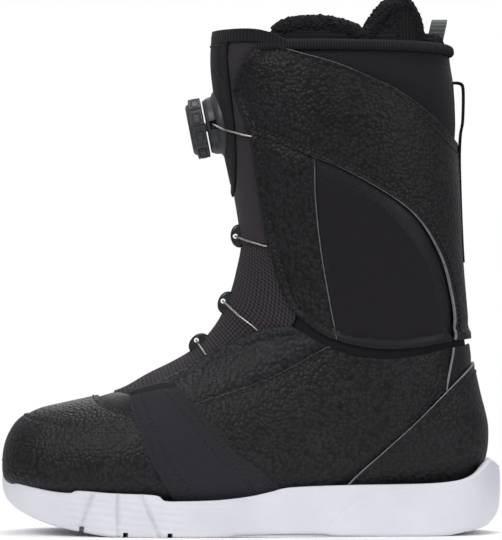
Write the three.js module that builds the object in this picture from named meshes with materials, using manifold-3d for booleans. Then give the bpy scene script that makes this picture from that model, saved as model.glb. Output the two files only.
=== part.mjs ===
// A left snowboard boot with a turning lace dial, a hinged cuff and a removable liner.
// Millimetres. +Z is up, the toe points to -X, the lateral (outer) side is -Y and the medial side is +Y.
// The origin is on the ground under the middle of the boot.
//
// The upper is one smooth skin, lofted through fan-shaped sections that run from the toe tip, over the
// instep, to the top of the shaft. Every sewn panel is a slice of that skin, cut out along its seams.
import * as THREE from "three";
import { mergeVertices } from "three/addons/utils/BufferGeometryUtils.js";
import Module from "manifold-3d";

const wasm = await Module();
wasm.setup();

// ---------------------------------------------------------------- driving dimensions

const FLEX_PIVOT = [62, 112]; // x, z of the ankle axis that the cuff leans about
const FLEX_LOW = [-11, 147.5]; // x, z on the tongue where the part that bends begins
const FLEX_HIGH = [-8.5, 164.6]; // and where it ends
const TONGUE_HINGE = [-4, 190]; // x, z of the crease that the upper tongue opens about

const PANEL = 1.8; // thickness of the upper's panels
const SEAM = 0.5; // gap between two panels
const OVERLAY = 1.2; // how far an overlaid panel stands proud
const FIT = 0.4; // clearance between pieces that only touch
const STIFFENER = [2.2, 3.6]; // depths of the toe puff's and the heel counter's faces
const GUSSET = [4.4, 5.5]; // depths of the faces of the knit that closes the openings
const TONGUE = [0.4, 5.5]; // depths of the tongue's faces
const LINER_OUT = 6; // depth of the liner's outer face
const LINER_IN = 12; // depth of the liner's inner face
const FOOTBED = [12.4, 16.5]; // depths of the footbed's faces

const LACE_R = 0.6;
const LACE_DEPTH = 3.4; // depth of the lace's centre where it runs under a panel
const LACE_LIFT = 2.9; // how far the lace's centre stands off the tongue inside a guide
const LACE_STEPS = 64;

const DIAL_POINT = [-18.6, 246.5]; // x, z where the dial's axis meets the tongue
const DIAL_TILT = THREE.MathUtils.degToRad(11); // how far the dial's face looks down
const DIAL_R = 18.4;
const DIAL_RIBS = 24;

// The loft's sections, from toe tip to the top: the front (or top) point x, z; the back (or bottom) point
// x, z; the centre y; the half width; how far down the section is widest, as a share of its length; and
// the power of its curve towards the front and towards the back (2 is an ellipse, more is squarer).
const SECTIONS = [
  [-149.2, 43, -149.2, 43, 5, 0, 0.6, 2.1, 3],
  [-148.3, 51.5, -148.6, 34, 5, 14, 0.6, 2.1, 3],
  [-145.3, 60, -145.5, 27.5, 5, 25, 0.6, 2.1, 3],
  [-139.5, 68.2, -138, 23.5, 4.8, 33.5, 0.6, 2.1, 3.2],
  [-129, 74.3, -126, 20.5, 4.2, 41, 0.61, 2.1, 3.4],
  [-113, 78.4, -109, 18.5, 3.4, 47.5, 0.62, 2.1, 3.6],
  [-95, 82.6, -86, 17, 2.2, 52.5, 0.63, 2.05, 3.6],
  [-78, 87.4, -60, 15.5, 0.6, 55, 0.63, 2, 3.6],
  [-62, 95.8, -32, 15, -1, 54.5, 0.63, 2, 3.6],
  [-48, 102.6, -3, 15.5, -2, 51.5, 0.63, 2, 3.6],
  [-35, 110.5, 28, 17.5, -2, 48, 0.62, 2, 3.4],
  [-24.5, 121, 60, 19.5, -1.5, 45.5, 0.6, 2, 3.2],
  [-17, 132.5, 92, 21.5, -0.8, 44, 0.58, 2.05, 3],
  [-12, 145, 120, 26, -0.3, 43.5, 0.56, 2.05, 2.8],
  [-8.6, 157.5, 137.5, 40, 0, 43.5, 0.53, 2.1, 2.5],
  [-6.5, 171, 141.5, 62, 0, 44, 0.51, 2.1, 2.4],
  [-7.2, 186, 136.5, 86, 0, 45, 0.5, 2.15, 2.3],
  [-9.4, 202, 131.8, 110, 0, 47, 0.5, 2.15, 2.3],
  [-12.4, 218, 128.6, 138, 0, 49.5, 0.5, 2.2, 2.3],
  [-15.8, 234, 126.2, 166, 0, 52, 0.5, 2.2, 2.3],
  [-18.8, 250, 125, 194, 0, 54.5, 0.5, 2.2, 2.3],
  [-21, 266, 124, 222, 0, 56.5, 0.5, 2.2, 2.3],
  [-22.6, 281, 122.6, 254, 0, 57.5, 0.5, 2.2, 2.3],
  [-22.4, 294, 121, 288, 0, 57.5, 0.5, 2.2, 2.3],
  [-21, 309, 118, 322, 0, 57, 0.5, 2.2, 2.3],
];
const TOE_END = 5; // the section where the toe's dome ends
const RING_POINTS = 18; // points round a section
const LINER_POINTS = 9; // and round a section of what lies inside

// Seams and edges in side view (x, z). Both sides of the boot are cut alike.
const EYESTAY_CUFF = [
  [24, 297], [7, 293], [-1.9, 285], [-8.1, 274], [-9.4, 265], [-2.4, 244.8], [0.2, 233], [3, 213],
  [5.9, 194.6], [9, 176.4], [12.6, 164.4], [17.4, 148.8], [24, 134.4],
];
const EYESTAY_LOWER = [
  [24, 125], [11.8, 124.2], [2.6, 122], [-9.3, 116.5], [-25.8, 108.4], [-36, 101.6], [-50.4, 94],
  [-62, 89.4], [-71, 88.4], [-82, 92],
];
const CUFF_HEM = [
  [24, 134.4], [33, 127], [42.4, 120.4], [55, 115.5], [70, 112.4], [84, 111.5], [102, 112.8], [121, 116], [140, 118],
];
const ANKLE_EDGE = [
  [24, 125], [34, 119.4], [46.2, 112.6], [61, 107.4], [72, 106], [84, 105.6], [102, 108], [121, 112.4], [140, 114.5],
];
const SWEEP_SEAM = [
  [-3, 243], [1.2, 241], [20.4, 233.4], [37.8, 225.6], [55.4, 218.4], [84, 202], [100.8, 187.4], [112.8, 167],
  [118.4, 148.6], [121.4, 130], [121, 112.4], [119, 100], [117, 86],
];
const COLLAR_SEAM = [
  [14, 292], [27.6, 287.6], [47.4, 282], [62.4, 276.3], [75, 270.6], [86.8, 265], [105.2, 252], [117.6, 239.7], [132, 225],
];
const FRONT_SEAM = [[37.8, 226.4], [37.8, 206], [40.1, 180], [44.3, 152.4], [51.6, 114]];
const WINDOW = [
  [39.4, 213], [55, 208.6], [70.2, 202.6], [82, 194], [91.5, 184.2], [103.6, 168.2], [109.6, 153.4], [115, 121.6],
  [100, 117.4], [84, 116], [70.2, 118.2], [52.4, 121.8], [46.4, 152.6], [42, 180], [39.8, 206],
];
const HEEL_SEAM = [[48, 12], [57.3, 30.4], [79.4, 50.6], [97.8, 67.2], [118, 87.3], [140, 108.4]];
const QUARTER_SEAM = [[-56, 70], [-31.2, 79.2], [-0.6, 89.4], [18.6, 97.8], [47, 113.6]];
const STRAP_FRONT = [[-73, 88], [-71, 75.2], [-66, 62.4], [-59, 45.4], [-51.6, 33], [-44, 20]];
const STRAP_REAR = [[26, 22], [-0.6, 43.9], [-11.4, 52.3], [-31.2, 74.4], [-40.2, 84.2], [-46.6, 91]];
const STRAP_TOP = [[-49, 92.2], [-55, 90.6], [-64, 87.4], [-70, 86.4]];
const STRAP_UNDER = [[-64, 93], [-57, 74], [-44, 52], [-30, 34], [-14, 12]]; // the joint hidden below the strap
const TOE_SEAM = [[-146, 71.6], [-135.7, 71.2], [-130.8, 69.7], [-111, 65.8], [-94.9, 63.8], [-69, 64.3], [-49, 65.6]];
const THROAT_SEAM = [[-97, 92], [-93.4, 83.2], [-90, 79.8], [-82.9, 76.2], [-72, 73.2], [-56, 72.4]];
const UPPER_FLOOR = [
  [-153, 38], [-141, 28], [-126, 23.5], [-107, 21.5], [-60, 18.5], [0, 19.5], [30, 22], [60, 24],
  [111, 26], [135, 34], [153, 46],
];
const COLLAR_EDGE = [[0, 289.4], [60, 289.2], [113, 288], [130, 284]];
const BINDING_TOP = [[0, 294], [60, 294], [114, 292.4], [130, 288]];
const TONGUE_BAND = [[-30, 294.6], [-8, 294.6], [8, 294.4], [30, 294.4]];
const TONGUE_TOP = [[-30, 299.4], [-20, 301], [0, 301.4], [12, 299], [20, 295.6], [30, 290]];
const LINER_TOP = [
  [-160, 298], [-6, 299], [10, 303], [20, 306], [32, 307], [46, 306], [60, 303], [68, 299], [72.4, 298.6],
  [77, 305], [83, 313.5], [90, 319], [96, 320.6], [101, 317], [105, 308], [106.6, 297.6], [130, 296.6],
];
const LINER_MOUTH = [
  [10, 330], [6, 298], [-3.6, 285], [-9.8, 274], [-11.2, 265], [-4.4, 245], [-1.8, 233], [1, 213], [4, 195], [5, 189],
]; // the edge of its front opening

// The sole's plan outline (x, y), its side outline (x, z), its sidewall grooves and its tread.
const SOLE_PLAN = [
  [-150, 5], [-147.6, 22], [-141, 35], [-128, 45.6], [-110, 52.8], [-88, 57.4], [-66, 59.2], [-40, 57.4],
  [-12, 52.6], [18, 47.8], [50, 45.6], [85, 45.2], [110, 43], [130, 35.4], [143.4, 21.4], [150, 0],
  [143.4, -21.4], [130, -35.4], [110, -43.2], [85, -45.6], [50, -48], [18, -52.6], [-12, -57.6], [-40, -59.4],
  [-66, -58], [-88, -52.8], [-110, -45.6], [-128, -36.4], [-141, -25], [-147.6, -12],
];
const SOLE_TOP = [
  [-151, 40], [-148.4, 38], [-144.6, 33.6], [-133.8, 29.6], [-119.4, 26.8], [-108, 26], [-103, 27.4],
  [-83, 26.2], [-57, 25.2], [-51, 22], [-40, 21.7], [-18.6, 22.4], [0, 24.5], [12, 27], [24.6, 29.6],
  [60, 30.8], [90, 31.2], [111, 31.8], [125, 33.4], [134, 36.4], [140, 41], [145, 44.8], [151, 40],
];
const SOLE_BOTTOM = [
  [151, 24], [149, 13], [146, 8], [140, 4.4], [124, 1.2], [110, 0], [54, 0], [40, 1.4], [-6, 1.4], [-18, 0],
  [-78, 0], [-100, 2.6], [-120, 6.6], [-136, 12.6], [-146, 19.4], [-151, 28],
];
const SOLE_GROOVES = [
  [[-94.4, 25], [-104, -2]],
  [[-79.6, 25], [-79, -2]],
  [[-65.4, 25], [-53, -2]],
];
const GROOVE_WIDTH = 2.2;
const GROOVE_DEPTH = 1.8;
const TREAD_GAP = 3;
const TREAD_PITCH = 17;
const TREAD_DEPTH = 3;
const TREAD_REACH = [-108, 132]; // x between which the tread is cut
const WAIST = [-14, 48]; // x between which the tread is smooth

// ---------------------------------------------------------------- solids

const FAR = 400; // further than any point of the boot

const manifoldOf = (geometry) => {
  const bare = new THREE.BufferGeometry().setAttribute("position", geometry.getAttribute("position"));
  bare.setIndex(geometry.index);
  const merged = mergeVertices(bare, 1e-4);
  return new wasm.Manifold(
    new wasm.Mesh({
      numProp: 3,
      vertProperties: merged.attributes.position.array,
      triVerts: new Uint32Array(merged.index.array),
    }),
  );
};

const joined = (...solids) => solids.reduce((a, b) => a.add(b));

// The largest of a solid's separate bodies, without the crumbs that a cut can leave.
const mainBody = (solid) => solid.decompose().sort((a, b) => b.volume() - a.volume())[0];

// A smooth line through points given as [a, b] pairs.
const smooth = (points, pieces = 1) =>
  new THREE.SplineCurve(points.map(([a, b]) => new THREE.Vector2(a, b))).getPoints((points.length - 1) * pieces);

const outline = (...runs) => new THREE.Shape(runs.flat().map((p) => (p.isVector2 ? p : new THREE.Vector2(...p))));

// The solid that a side-view outline (x, z) sweeps along Y, between two y values.
const sideways = (shape, fromY = -FAR / 2, toY = FAR / 2) => {
  const geometry = new THREE.ExtrudeGeometry(shape, { depth: toY - fromY, bevelEnabled: false });
  return manifoldOf(geometry.rotateX(Math.PI / 2).translate(0, toY, 0));
};

// The solid that a plan outline (x, y) sweeps upwards, between two heights.
const upwards = (shape, fromZ, toZ) =>
  manifoldOf(new THREE.ExtrudeGeometry(shape, { depth: toZ - fromZ, bevelEnabled: false }).translate(0, 0, fromZ));

const box = (x, y, z) => {
  const geometry = new THREE.BoxGeometry(x[1] - x[0], y[1] - y[0], z[1] - z[0]);
  return manifoldOf(geometry.translate((x[0] + x[1]) / 2, (y[0] + y[1]) / 2, (z[0] + z[1]) / 2));
};

const LATERAL = box([-FAR, FAR], [-FAR, -SEAM / 2], [-FAR, FAR]);
const MEDIAL = box([-FAR, FAR], [SEAM / 2, FAR], [-FAR, FAR]);

// A ribbon of the given width along a line in side view, as a prism that cuts a seam.
const ribbon = (line, width) => {
  const across = line.map((p, i) => {
    const along = line[Math.min(i + 1, line.length - 1)].clone().sub(line[Math.max(i - 1, 0)]).normalize();
    return new THREE.Vector2(-along.y, along.x).multiplyScalar(width / 2);
  });
  const left = line.map((p, i) => p.clone().add(across[i]));
  const right = line.map((p, i) => p.clone().sub(across[i])).reverse();
  return sideways(outline(left, right));
};

// ---------------------------------------------------------------- the skin of the boot

// One column of the section table, followed smoothly through the rows.
const followed = (u, column) => {
  const last = SECTIONS.length - 1;
  const row = Math.min(Math.floor(u), last - 1);
  const s = u - row;
  const near = [row - 1, row, row + 1, row + 2].map((r) => THREE.MathUtils.clamp(r, 0, last));
  const [a, b, c, d] = near.map((r) => SECTIONS[r][column]);
  return b + 0.5 * s * (c - a + s * (2 * a - 5 * b + 4 * c - d + s * (3 * (b - c) + d - a)));
};

const [TOE_X, TOE_Z, TOE_BACK_X, TOE_BACK_Z, , TOE_HALF_WIDTH] = SECTIONS[TOE_END];
const TOE_LENGTH = Math.hypot(TOE_X - TOE_BACK_X, TOE_Z - TOE_BACK_Z);
const TIP_X = SECTIONS[0][0];

// The section at u, taken in by an inset: every wall moves inwards by it, and so does the toe's tip.
const sectionAt = (u, inset) => {
  const [fx, fz, bx, bz, y, half, belly, frontPower, backPower] = SECTIONS[0].map((_, column) => followed(u, column));
  const front = new THREE.Vector2(fx, fz);
  const along = new THREE.Vector2(bx - fx, bz - fz);
  const length = along.length();
  along.divideScalar(length || 1);
  const taken = inset * Math.min(1, length / TOE_LENGTH);
  const tip = inset * THREE.MathUtils.clamp((TOE_X - fx) / (TOE_X - TIP_X), 0, 1);
  front.addScaledVector(along, taken).add(new THREE.Vector2(tip, 0));
  return {
    front,
    along,
    length: length - 2 * taken,
    y,
    half: half - inset * Math.min(1, half / TOE_HALF_WIDTH),
    belly,
    frontPower,
    backPower,
  };
};

// A point of the skin: angle 0 is the front or top line, PI the back or bottom line, and positive
// angles are on the medial side.
const skinPoint = (u, angle, inset = 0) => {
  const s = sectionAt(u, inset);
  const towardsBack = Math.cos(angle) < 0;
  const reach = s.length * (towardsBack ? 1 - s.belly : s.belly);
  const power = towardsBack ? s.backPower : s.frontPower;
  const c = Math.abs(Math.cos(angle)) / Math.max(reach, 1e-6);
  const n = Math.abs(Math.sin(angle)) / Math.max(s.half, 1e-6);
  const radius = (c ** power + n ** power) ** (-1 / power);
  const down = s.length * s.belly - radius * Math.cos(angle);
  return new THREE.Vector3(
    s.front.x + s.along.x * down,
    s.y + radius * Math.sin(angle),
    s.front.y + s.along.y * down,
  );
};

// Where a side-view point (x, z) lies on the skin, as { u, angle }, for side -1 (lateral) or 1 (medial).
const placeOnSkin = (x, z, side, inset = 0) => {
  const crossing = (u) => {
    const s = sectionAt(u, inset);
    return s.along.x * (z - s.front.y) - s.along.y * (x - s.front.x);
  };
  let [low, high] = [0.01, SECTIONS.length - 1];
  while (high - low > 1e-5) {
    const middle = (low + high) / 2;
    if (crossing(middle) > 0) low = middle;
    else high = middle;
  }
  const s = sectionAt(low, inset);
  const down = s.along.x * (x - s.front.x) + s.along.y * (z - s.front.y) - s.length * s.belly;
  const reach = s.length * (down > 0 ? 1 - s.belly : s.belly);
  const power = down > 0 ? s.backPower : s.frontPower;
  const out = s.half * (1 - Math.min(1, Math.abs(down) / reach) ** power) ** (1 / power);
  return { u: low, angle: side * Math.atan2(out, -down) };
};

const sidePoint = (x, z, side, inset = 0) => {
  const { u, angle } = placeOnSkin(x, z, side, inset);
  return skinPoint(u, angle, inset);
};

// The closed solid inside the skin at an inset, up to the top section, with the top raised if asked.
const skin = (inset, raise = 0, count = RING_POINTS) => {
  const rings = SECTIONS.slice(1).map((_, i) => i + 1);
  const vertices = [skinPoint(0, 0, inset)];
  rings.forEach((u) => {
    for (let k = 0; k < count; k += 1) vertices.push(skinPoint(u, (2 * Math.PI * k) / count, inset));
  });
  const top = vertices.slice(-count);
  top.forEach((p) => (p.z += raise));
  const centre = top.reduce((sum, p) => sum.add(p), new THREE.Vector3()).divideScalar(count);
  vertices.push(centre);
  const index = [];
  const at = (ring, k) => 1 + ring * count + (k % count);
  for (let k = 0; k < count; k += 1) {
    index.push(0, at(0, k), at(0, k + 1));
    for (let ring = 0; ring < rings.length - 1; ring += 1) {
      index.push(at(ring, k), at(ring + 1, k), at(ring + 1, k + 1));
      index.push(at(ring, k), at(ring + 1, k + 1), at(ring, k + 1));
    }
    index.push(at(rings.length - 1, k), vertices.length - 1, at(rings.length - 1, k + 1));
  }
  const geometry = new THREE.BufferGeometry().setFromPoints(vertices);
  geometry.setIndex(index);
  const made = manifoldOf(geometry);
  if (made.volume() > 0) return made;
  geometry.setIndex(index.reverse());
  return manifoldOf(geometry);
};

// The shell between two depths below the skin.
const layer = (from, to, count) => skin(from, 0, count).subtract(skin(to, 30, count));

// The space that lies below, above or behind a side-view line.
const below = (line) => sideways(outline([[line[0].x, -FAR]], line, [[line.at(-1).x, -FAR]]));
const above = (line) => sideways(outline([[line[0].x, FAR * 2]], line, [[line.at(-1).x, FAR * 2]]));
const behind = (line) => sideways(outline([[FAR, line[0].y]], line, [[FAR, line.at(-1).y]]));

// Of the pieces that a cut has made of a solid, the one that holds a side-view point of the skin.
const pieceAt = (pieces, x, z, side = -1) => {
  const { x: px, y: py, z: pz } = sidePoint(x, z, side, PANEL / 2);
  const probe = box([px - 2, px + 2], [py - 2, py + 2], [pz - 2, pz + 2]);
  return pieces.find((piece) => piece.intersect(probe).volume() > 0.5);
};

// ---------------------------------------------------------------- adding a piece to the boot

const boot = new THREE.Group();

const LEATHER = { color: "#2b2b2d", roughness: 0.62, metalness: 0 };
const WEBBING = { color: "#333338", roughness: 0.85, metalness: 0 };
const KNIT = { color: "#3d383d", roughness: 0.95, metalness: 0 };
const FLEECE = { color: "#4a4748", roughness: 1, metalness: 0 };
const FOAM = { color: "#e2e2e8", roughness: 0.7, metalness: 0 };
const BOARD = { color: "#6d6a66", roughness: 0.9, metalness: 0 };
const PLASTIC = { color: "#1b1b1e", roughness: 0.3, metalness: 0 };
const SATIN = { color: "#4a4b51", roughness: 0.45, metalness: 0 };
const STEEL = { color: "#b9b6ae", roughness: 0.35, metalness: 1 };

const addMesh = (name, geometry, finish) => {
  const mesh = new THREE.Mesh(geometry, new THREE.MeshStandardMaterial(finish));
  mesh.name = name;
  boot.add(mesh);
  return mesh;
};

const add = (name, solid, finish) => {
  const { vertProperties, triVerts } = mainBody(solid).getMesh();
  const geometry = new THREE.BufferGeometry();
  geometry.setAttribute("position", new THREE.BufferAttribute(vertProperties, 3));
  geometry.setIndex(new THREE.BufferAttribute(triVerts, 1));
  geometry.computeVertexNormals();
  return addMesh(name, geometry, finish);
};

// The boot's own left and right, with the half of space that each lies in.
const SIDES = [
  ["Lateral", -1, LATERAL],
  ["Medial", 1, MEDIAL],
];

// ---------------------------------------------------------------- the lace's route

const GUIDE_PLACES = { Lower: 10.35, Middle: 12.5, Upper: 15.55 }; // where each guide sits along the skin
const GUIDE_WIDTH = 14;
const GUIDE_LONG = 7.2; // half its length along the tongue
const GUIDE_DEEP = 4.9; // half its height off the tongue
const GUIDE_HOLE = 1.5;

// The middle of a guide's seat on the tongue, and the directions along the tongue and out of it.
const guideSeat = (u) => {
  const seat = skinPoint(u, 0);
  const along = skinPoint(u + 0.05, 0).sub(skinPoint(u - 0.05, 0)).setY(0).normalize();
  return { seat, along, out: new THREE.Vector3(-along.z, 0, along.x) };
};

const throughGuide = (name, side) => {
  const { seat, out } = guideSeat(GUIDE_PLACES[name]);
  return [1, 0].map((share) => seat.clone().addScaledVector(out, LACE_LIFT).setY(seat.y + side * (2 + 4 * share)));
};

const DIAL_OUT = new THREE.Vector3(-Math.cos(DIAL_TILT), 0, -Math.sin(DIAL_TILT));
const SPOOL_MIDDLE = 4; // height of the spool's middle above the tongue
const SPOOL_R = 11.4;

// A point beside the dial's axis, at a height above the tongue.
const besideDial = (height, side, away) =>
  new THREE.Vector3(DIAL_POINT[0], side * away, DIAL_POINT[1]).addScaledVector(DIAL_OUT, height);

// A stretch of lace laid on the skin: its points are side-view x, z and the depth of the lace's centre.
const stretch = (side, points) => {
  const route = new THREE.CatmullRomCurve3(points.map((p) => new THREE.Vector3(...p)));
  const count = Math.round(route.getLength() / 6);
  return route.getSpacedPoints(count).map((p) => sidePoint(p.x, p.y, side, p.z));
};

const OVER = -1.2; // depth of the lace's centre where it lies on the tongue
const UNDER = LACE_DEPTH;

const laceRoute = new THREE.CatmullRomCurve3([
  besideDial(SPOOL_MIDDLE, -1, SPOOL_R + 1.2),
  besideDial(SPOOL_MIDDLE, -1, 19),
  ...stretch(-1, [
    [-11, 242, OVER], [-3.6, 239.4, OVER], [4, 236, UNDER], [13, 226, UNDER], [17, 206, UNDER],
    [20, 186, UNDER], [16.4, 174.6, UNDER], [9, 172.4, 0.6], [3, 173, OVER],
  ]),
  ...throughGuide("Upper", -1),
  ...throughGuide("Upper", 1).reverse(),
  ...stretch(1, [
    [3, 173, OVER], [9, 172.4, 0.6], [17, 170, UNDER], [26, 156, UNDER], [32, 140, UNDER], [33.6, 125, UNDER],
    [28, 113.6, UNDER], [17, 111.4, UNDER], [8.4, 116.8, UNDER], [3.2, 122.4, 0.6], [-2, 126, OVER],
  ]),
  ...throughGuide("Middle", 1),
  ...throughGuide("Middle", -1).reverse(),
  ...stretch(-1, [
    [-2, 126, OVER], [3.2, 122.4, 0.6], [6.6, 116, UNDER], [0, 107.6, UNDER], [-12, 102.4, UNDER],
    [-22, 101.6, UNDER], [-27, 107.4, 0.6], [-29, 110, OVER],
  ]),
  ...throughGuide("Lower", -1),
  ...throughGuide("Lower", 1).reverse(),
  ...stretch(1, [
    [-29, 110, OVER], [-27, 107.4, 0.6], [-22, 101.6, UNDER], [-10, 98, UNDER], [14, 98.4, UNDER],
    [36, 104, UNDER], [45, 120, UNDER], [42.6, 148, UNDER], [35, 180, UNDER], [26, 208, UNDER],
    [15, 228, UNDER], [4, 236, UNDER], [-3.6, 239.4, OVER], [-11, 242, OVER],
  ]),
  besideDial(SPOOL_MIDDLE, 1, 19),
  besideDial(SPOOL_MIDDLE, 1, SPOOL_R + 1.2),
]);

const laceTube = (radius) => {
  const section = new THREE.Shape(
    Array.from({ length: 8 }, (_, k) => {
      const angle = ((k + 0.5) * Math.PI) / 4;
      return new THREE.Vector2(radius * Math.cos(angle), radius * Math.sin(angle));
    }),
  );
  const options = { steps: LACE_STEPS, extrudePath: laceRoute, bevelEnabled: false };
  return new THREE.ExtrudeGeometry(section, options);
};

const laceWay = manifoldOf(laceTube(LACE_R + 0.5)); // the room that the lace needs in what it passes

// ---------------------------------------------------------------- the outer's panels

const slit = sideways(outline(smooth(CUFF_HEM), smooth(ANKLE_EDGE).reverse()));
const mouthEdge = [...smooth(EYESTAY_CUFF), ...smooth(EYESTAY_LOWER)];
const mouth = sideways(outline([[-FAR, 297]], mouthEdge, [[-FAR, 92]]));
const floorLine = smooth(UPPER_FLOOR);
const rimLine = smooth(SOLE_TOP).map((p) => new THREE.Vector2(p.x, p.y + FIT));
const windowEdge = new THREE.CatmullRomCurve3(WINDOW.map(([x, z]) => new THREE.Vector3(x, z, 0)), true)
  .getPoints(WINDOW.length)
  .map((p) => new THREE.Vector2(p.x, p.y));

const window = sideways(outline(windowEdge));

const addPanels = () => {
  const seams = [
    TOE_SEAM, THROAT_SEAM, STRAP_UNDER, QUARTER_SEAM, HEEL_SEAM, SWEEP_SEAM, COLLAR_SEAM, FRONT_SEAM,
  ].map((seam) => ribbon(smooth(seam), SEAM));
  const cuts = joined(...seams, slit, mouth, above(smooth(COLLAR_EDGE)), below(floorLine));
  const pieces = layer(0, PANEL).subtract(cuts).decompose();
  const at = (...place) => pieceAt(pieces, ...place);

  add("Toe_Cap", at(-142, 50), LEATHER);
  add("Vamp", at(-115, 72), LEATHER);
  add("Throat_Panel", at(-82, 80), LEATHER);
  add("Heel_Spine", at(126, 104), LEATHER);
  add("Cuff_Back", at(80, 230), LEATHER);
  add("Collar_Panel", at(90, 278), LEATHER);
  const heelOverlay = layer(-OVERLAY, PANEL / 2).intersect(behind(smooth(HEEL_SEAM)).intersect(above(rimLine)));
  add("Heel_Cup", at(125, 60).add(heelOverlay.subtract(ribbon(smooth(HEEL_SEAM, 1), SEAM))), LEATHER);
  SIDES.forEach(([name, side]) => {
    add(`Quarter_${name}`, at(20, 60, side), LEATHER);
    add(`Lower_Eyestay_${name}`, at(24, 112, side).subtract(laceWay), LEATHER);
    add(`Cuff_Eyestay_${name}`, at(22, 190, side).subtract(laceWay), LEATHER);
    const behindFront = at(75, 150, side).subtract(ribbon(windowEdge, SEAM));
    add(`Ankle_Frame_${name}`, behindFront.subtract(window), LEATHER);
    add(`Ankle_Window_${name}`, behindFront.intersect(window), LEATHER);
  });
};

// The strap over the instep, sewn on top of the vamp and the quarter of each side.
const addStraps = () => {
  const shape = outline(smooth(STRAP_FRONT), smooth(STRAP_REAR), smooth(STRAP_TOP));
  const both = layer(-OVERLAY, -FIT).intersect(sideways(shape)).intersect(above(rimLine));
  SIDES.forEach(([name, , half]) => add(`Instep_Strap_${name}`, both.intersect(half), WEBBING));
};

const addStiffeners = () => {
  const shell = layer(...STIFFENER);
  const puff = outline([[-160, 26], [-92, 26], [-100, 120], [-160, 120]]);
  add("Toe_Puff", shell.intersect(sideways(puff)), BOARD);
  const counter = outline([[60, 30], [64, 58], [90, 80], [124, 92], [160, 92], [160, 30]]);
  add("Heel_Counter", shell.intersect(sideways(counter)), BOARD);
  add("Lasting_Board", layer(0, PANEL).intersect(below(floorLine)).subtract(ribbon(floorLine, SEAM)), BOARD);
};

// The knitted band along the collar, and the knit that closes the slit round the ankle.
const addKnit = () => {
  const band = above(smooth(COLLAR_EDGE)).intersect(below(smooth(BINDING_TOP))).subtract(mouth);
  const gap = ribbon(smooth(COLLAR_EDGE), SEAM);
  add("Collar_Binding", layer(-0.8, 3).intersect(band).subtract(gap), KNIT);
  const raised = smooth(CUFF_HEM).map((p) => new THREE.Vector2(p.x + 2, p.y + 7));
  const lowered = smooth(ANKLE_EDGE).map((p) => new THREE.Vector2(p.x + 2, p.y - 7));
  add("Ankle_Gusset", layer(...GUSSET).intersect(sideways(outline(raised, lowered.reverse()))), KNIT);
};

// ---------------------------------------------------------------- the tongue

const FLEX_LINES = [FLEX_LOW, FLEX_HIGH].map(([x, z], i) => {
  const slope = (z - FLEX_PIVOT[1]) / (x - FLEX_PIVOT[0]);
  const rise = i === 0 ? -SEAM : SEAM;
  return [
    new THREE.Vector2(-FAR / 2, FLEX_PIVOT[1] + slope * (-FAR / 2 - FLEX_PIVOT[0])),
    new THREE.Vector2(FLEX_PIVOT[0] - 2, FLEX_PIVOT[1] - slope * 2 + rise),
    new THREE.Vector2(160, FLEX_PIVOT[1] + rise * 10),
  ];
});
const [flexFloor, flexRoof] = FLEX_LINES;
const shifted = (line, dx, dz) => line.map((p) => new THREE.Vector2(p.x + dx, p.y + dz));
const flexZone = above(shifted(flexFloor, 0, FIT)).intersect(below(shifted(flexRoof, 0, -FIT)));

const hingeGap = (width) => box([-FAR, FAR], [-FAR, FAR], [TONGUE_HINGE[1] - width / 2, TONGUE_HINGE[1] + width / 2]);
const aboveHinge = box([-FAR, FAR], [-FAR, FAR], [TONGUE_HINGE[1], FAR]);
const belowHinge = box([-FAR, FAR], [-FAR, FAR], [-FAR, TONGUE_HINGE[1]]);

const addTongue = () => {
  const whole = layer(...TONGUE).intersect(mouth).subtract(ribbon(mouthEdge, 2 * SEAM)).subtract(laceWay);
  const top = whole.intersect(aboveHinge).subtract(hingeGap(2));
  const shoulders = box([15, FAR], [-FAR, FAR], [118, FAR]);
  add("Tongue_Instep", whole.intersect(below(flexFloor)).subtract(shoulders), KNIT);
  add("Tongue_Flex", whole.intersect(flexZone), KNIT);
  add("Tongue_Middle", whole.intersect(above(flexRoof)).intersect(belowHinge).subtract(hingeGap(2)), KNIT);
  add("Tongue_Top", top.intersect(below(shifted(smooth(TONGUE_BAND), 0, -SEAM))), KNIT);
  const crown = sideways(outline([[-FAR, 200]], smooth(TONGUE_TOP), [[30, 200]]));
  const rolled = layer(0, TONGUE[1]).intersect(crown).intersect(above(smooth(TONGUE_BAND)));
  add("Tongue_Binding", rolled, KNIT);
  const reach = shifted(mouthEdge.slice(0, 9), 9, 0);
  const flap = sideways(outline(reach, shifted(mouthEdge.slice(0, 9), 0.8, 0).reverse()));
  const belowBand = below(shifted(smooth(TONGUE_BAND), 0, -2 * SEAM));
  SIDES.forEach(([name, , half]) => {
    const knit = layer(...GUSSET).intersect(flap).intersect(half).intersect(aboveHinge).intersect(belowBand);
    add(`Tongue_Gusset_${name}`, knit.subtract(hingeGap(2)).subtract(laceWay), KNIT);
  });
};

const addGuides = () => {
  Object.entries(GUIDE_PLACES).forEach(([name, u]) => {
    const { seat, along, out } = guideSeat(u);
    const hoop = new THREE.Shape();
    hoop.absellipse(0, 0.2, GUIDE_LONG, GUIDE_DEEP, 0, 2 * Math.PI);
    const hole = new THREE.Path();
    hole.absarc(0, LACE_LIFT, GUIDE_HOLE, 0, 2 * Math.PI);
    hoop.holes.push(hole);
    const options = { depth: GUIDE_WIDTH, curveSegments: 12, bevelEnabled: false };
    const geometry = new THREE.ExtrudeGeometry(hoop, options).translate(0, 0, -GUIDE_WIDTH / 2);
    const across = new THREE.Vector3().crossVectors(along, out);
    geometry.applyMatrix4(new THREE.Matrix4().makeBasis(along, out, across).setPosition(seat));
    add(`Lace_Guide_${name}`, manifoldOf(geometry).subtract(skin(0.1)).subtract(laceWay), PLASTIC);
  });
};

// ---------------------------------------------------------------- the dial

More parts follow.
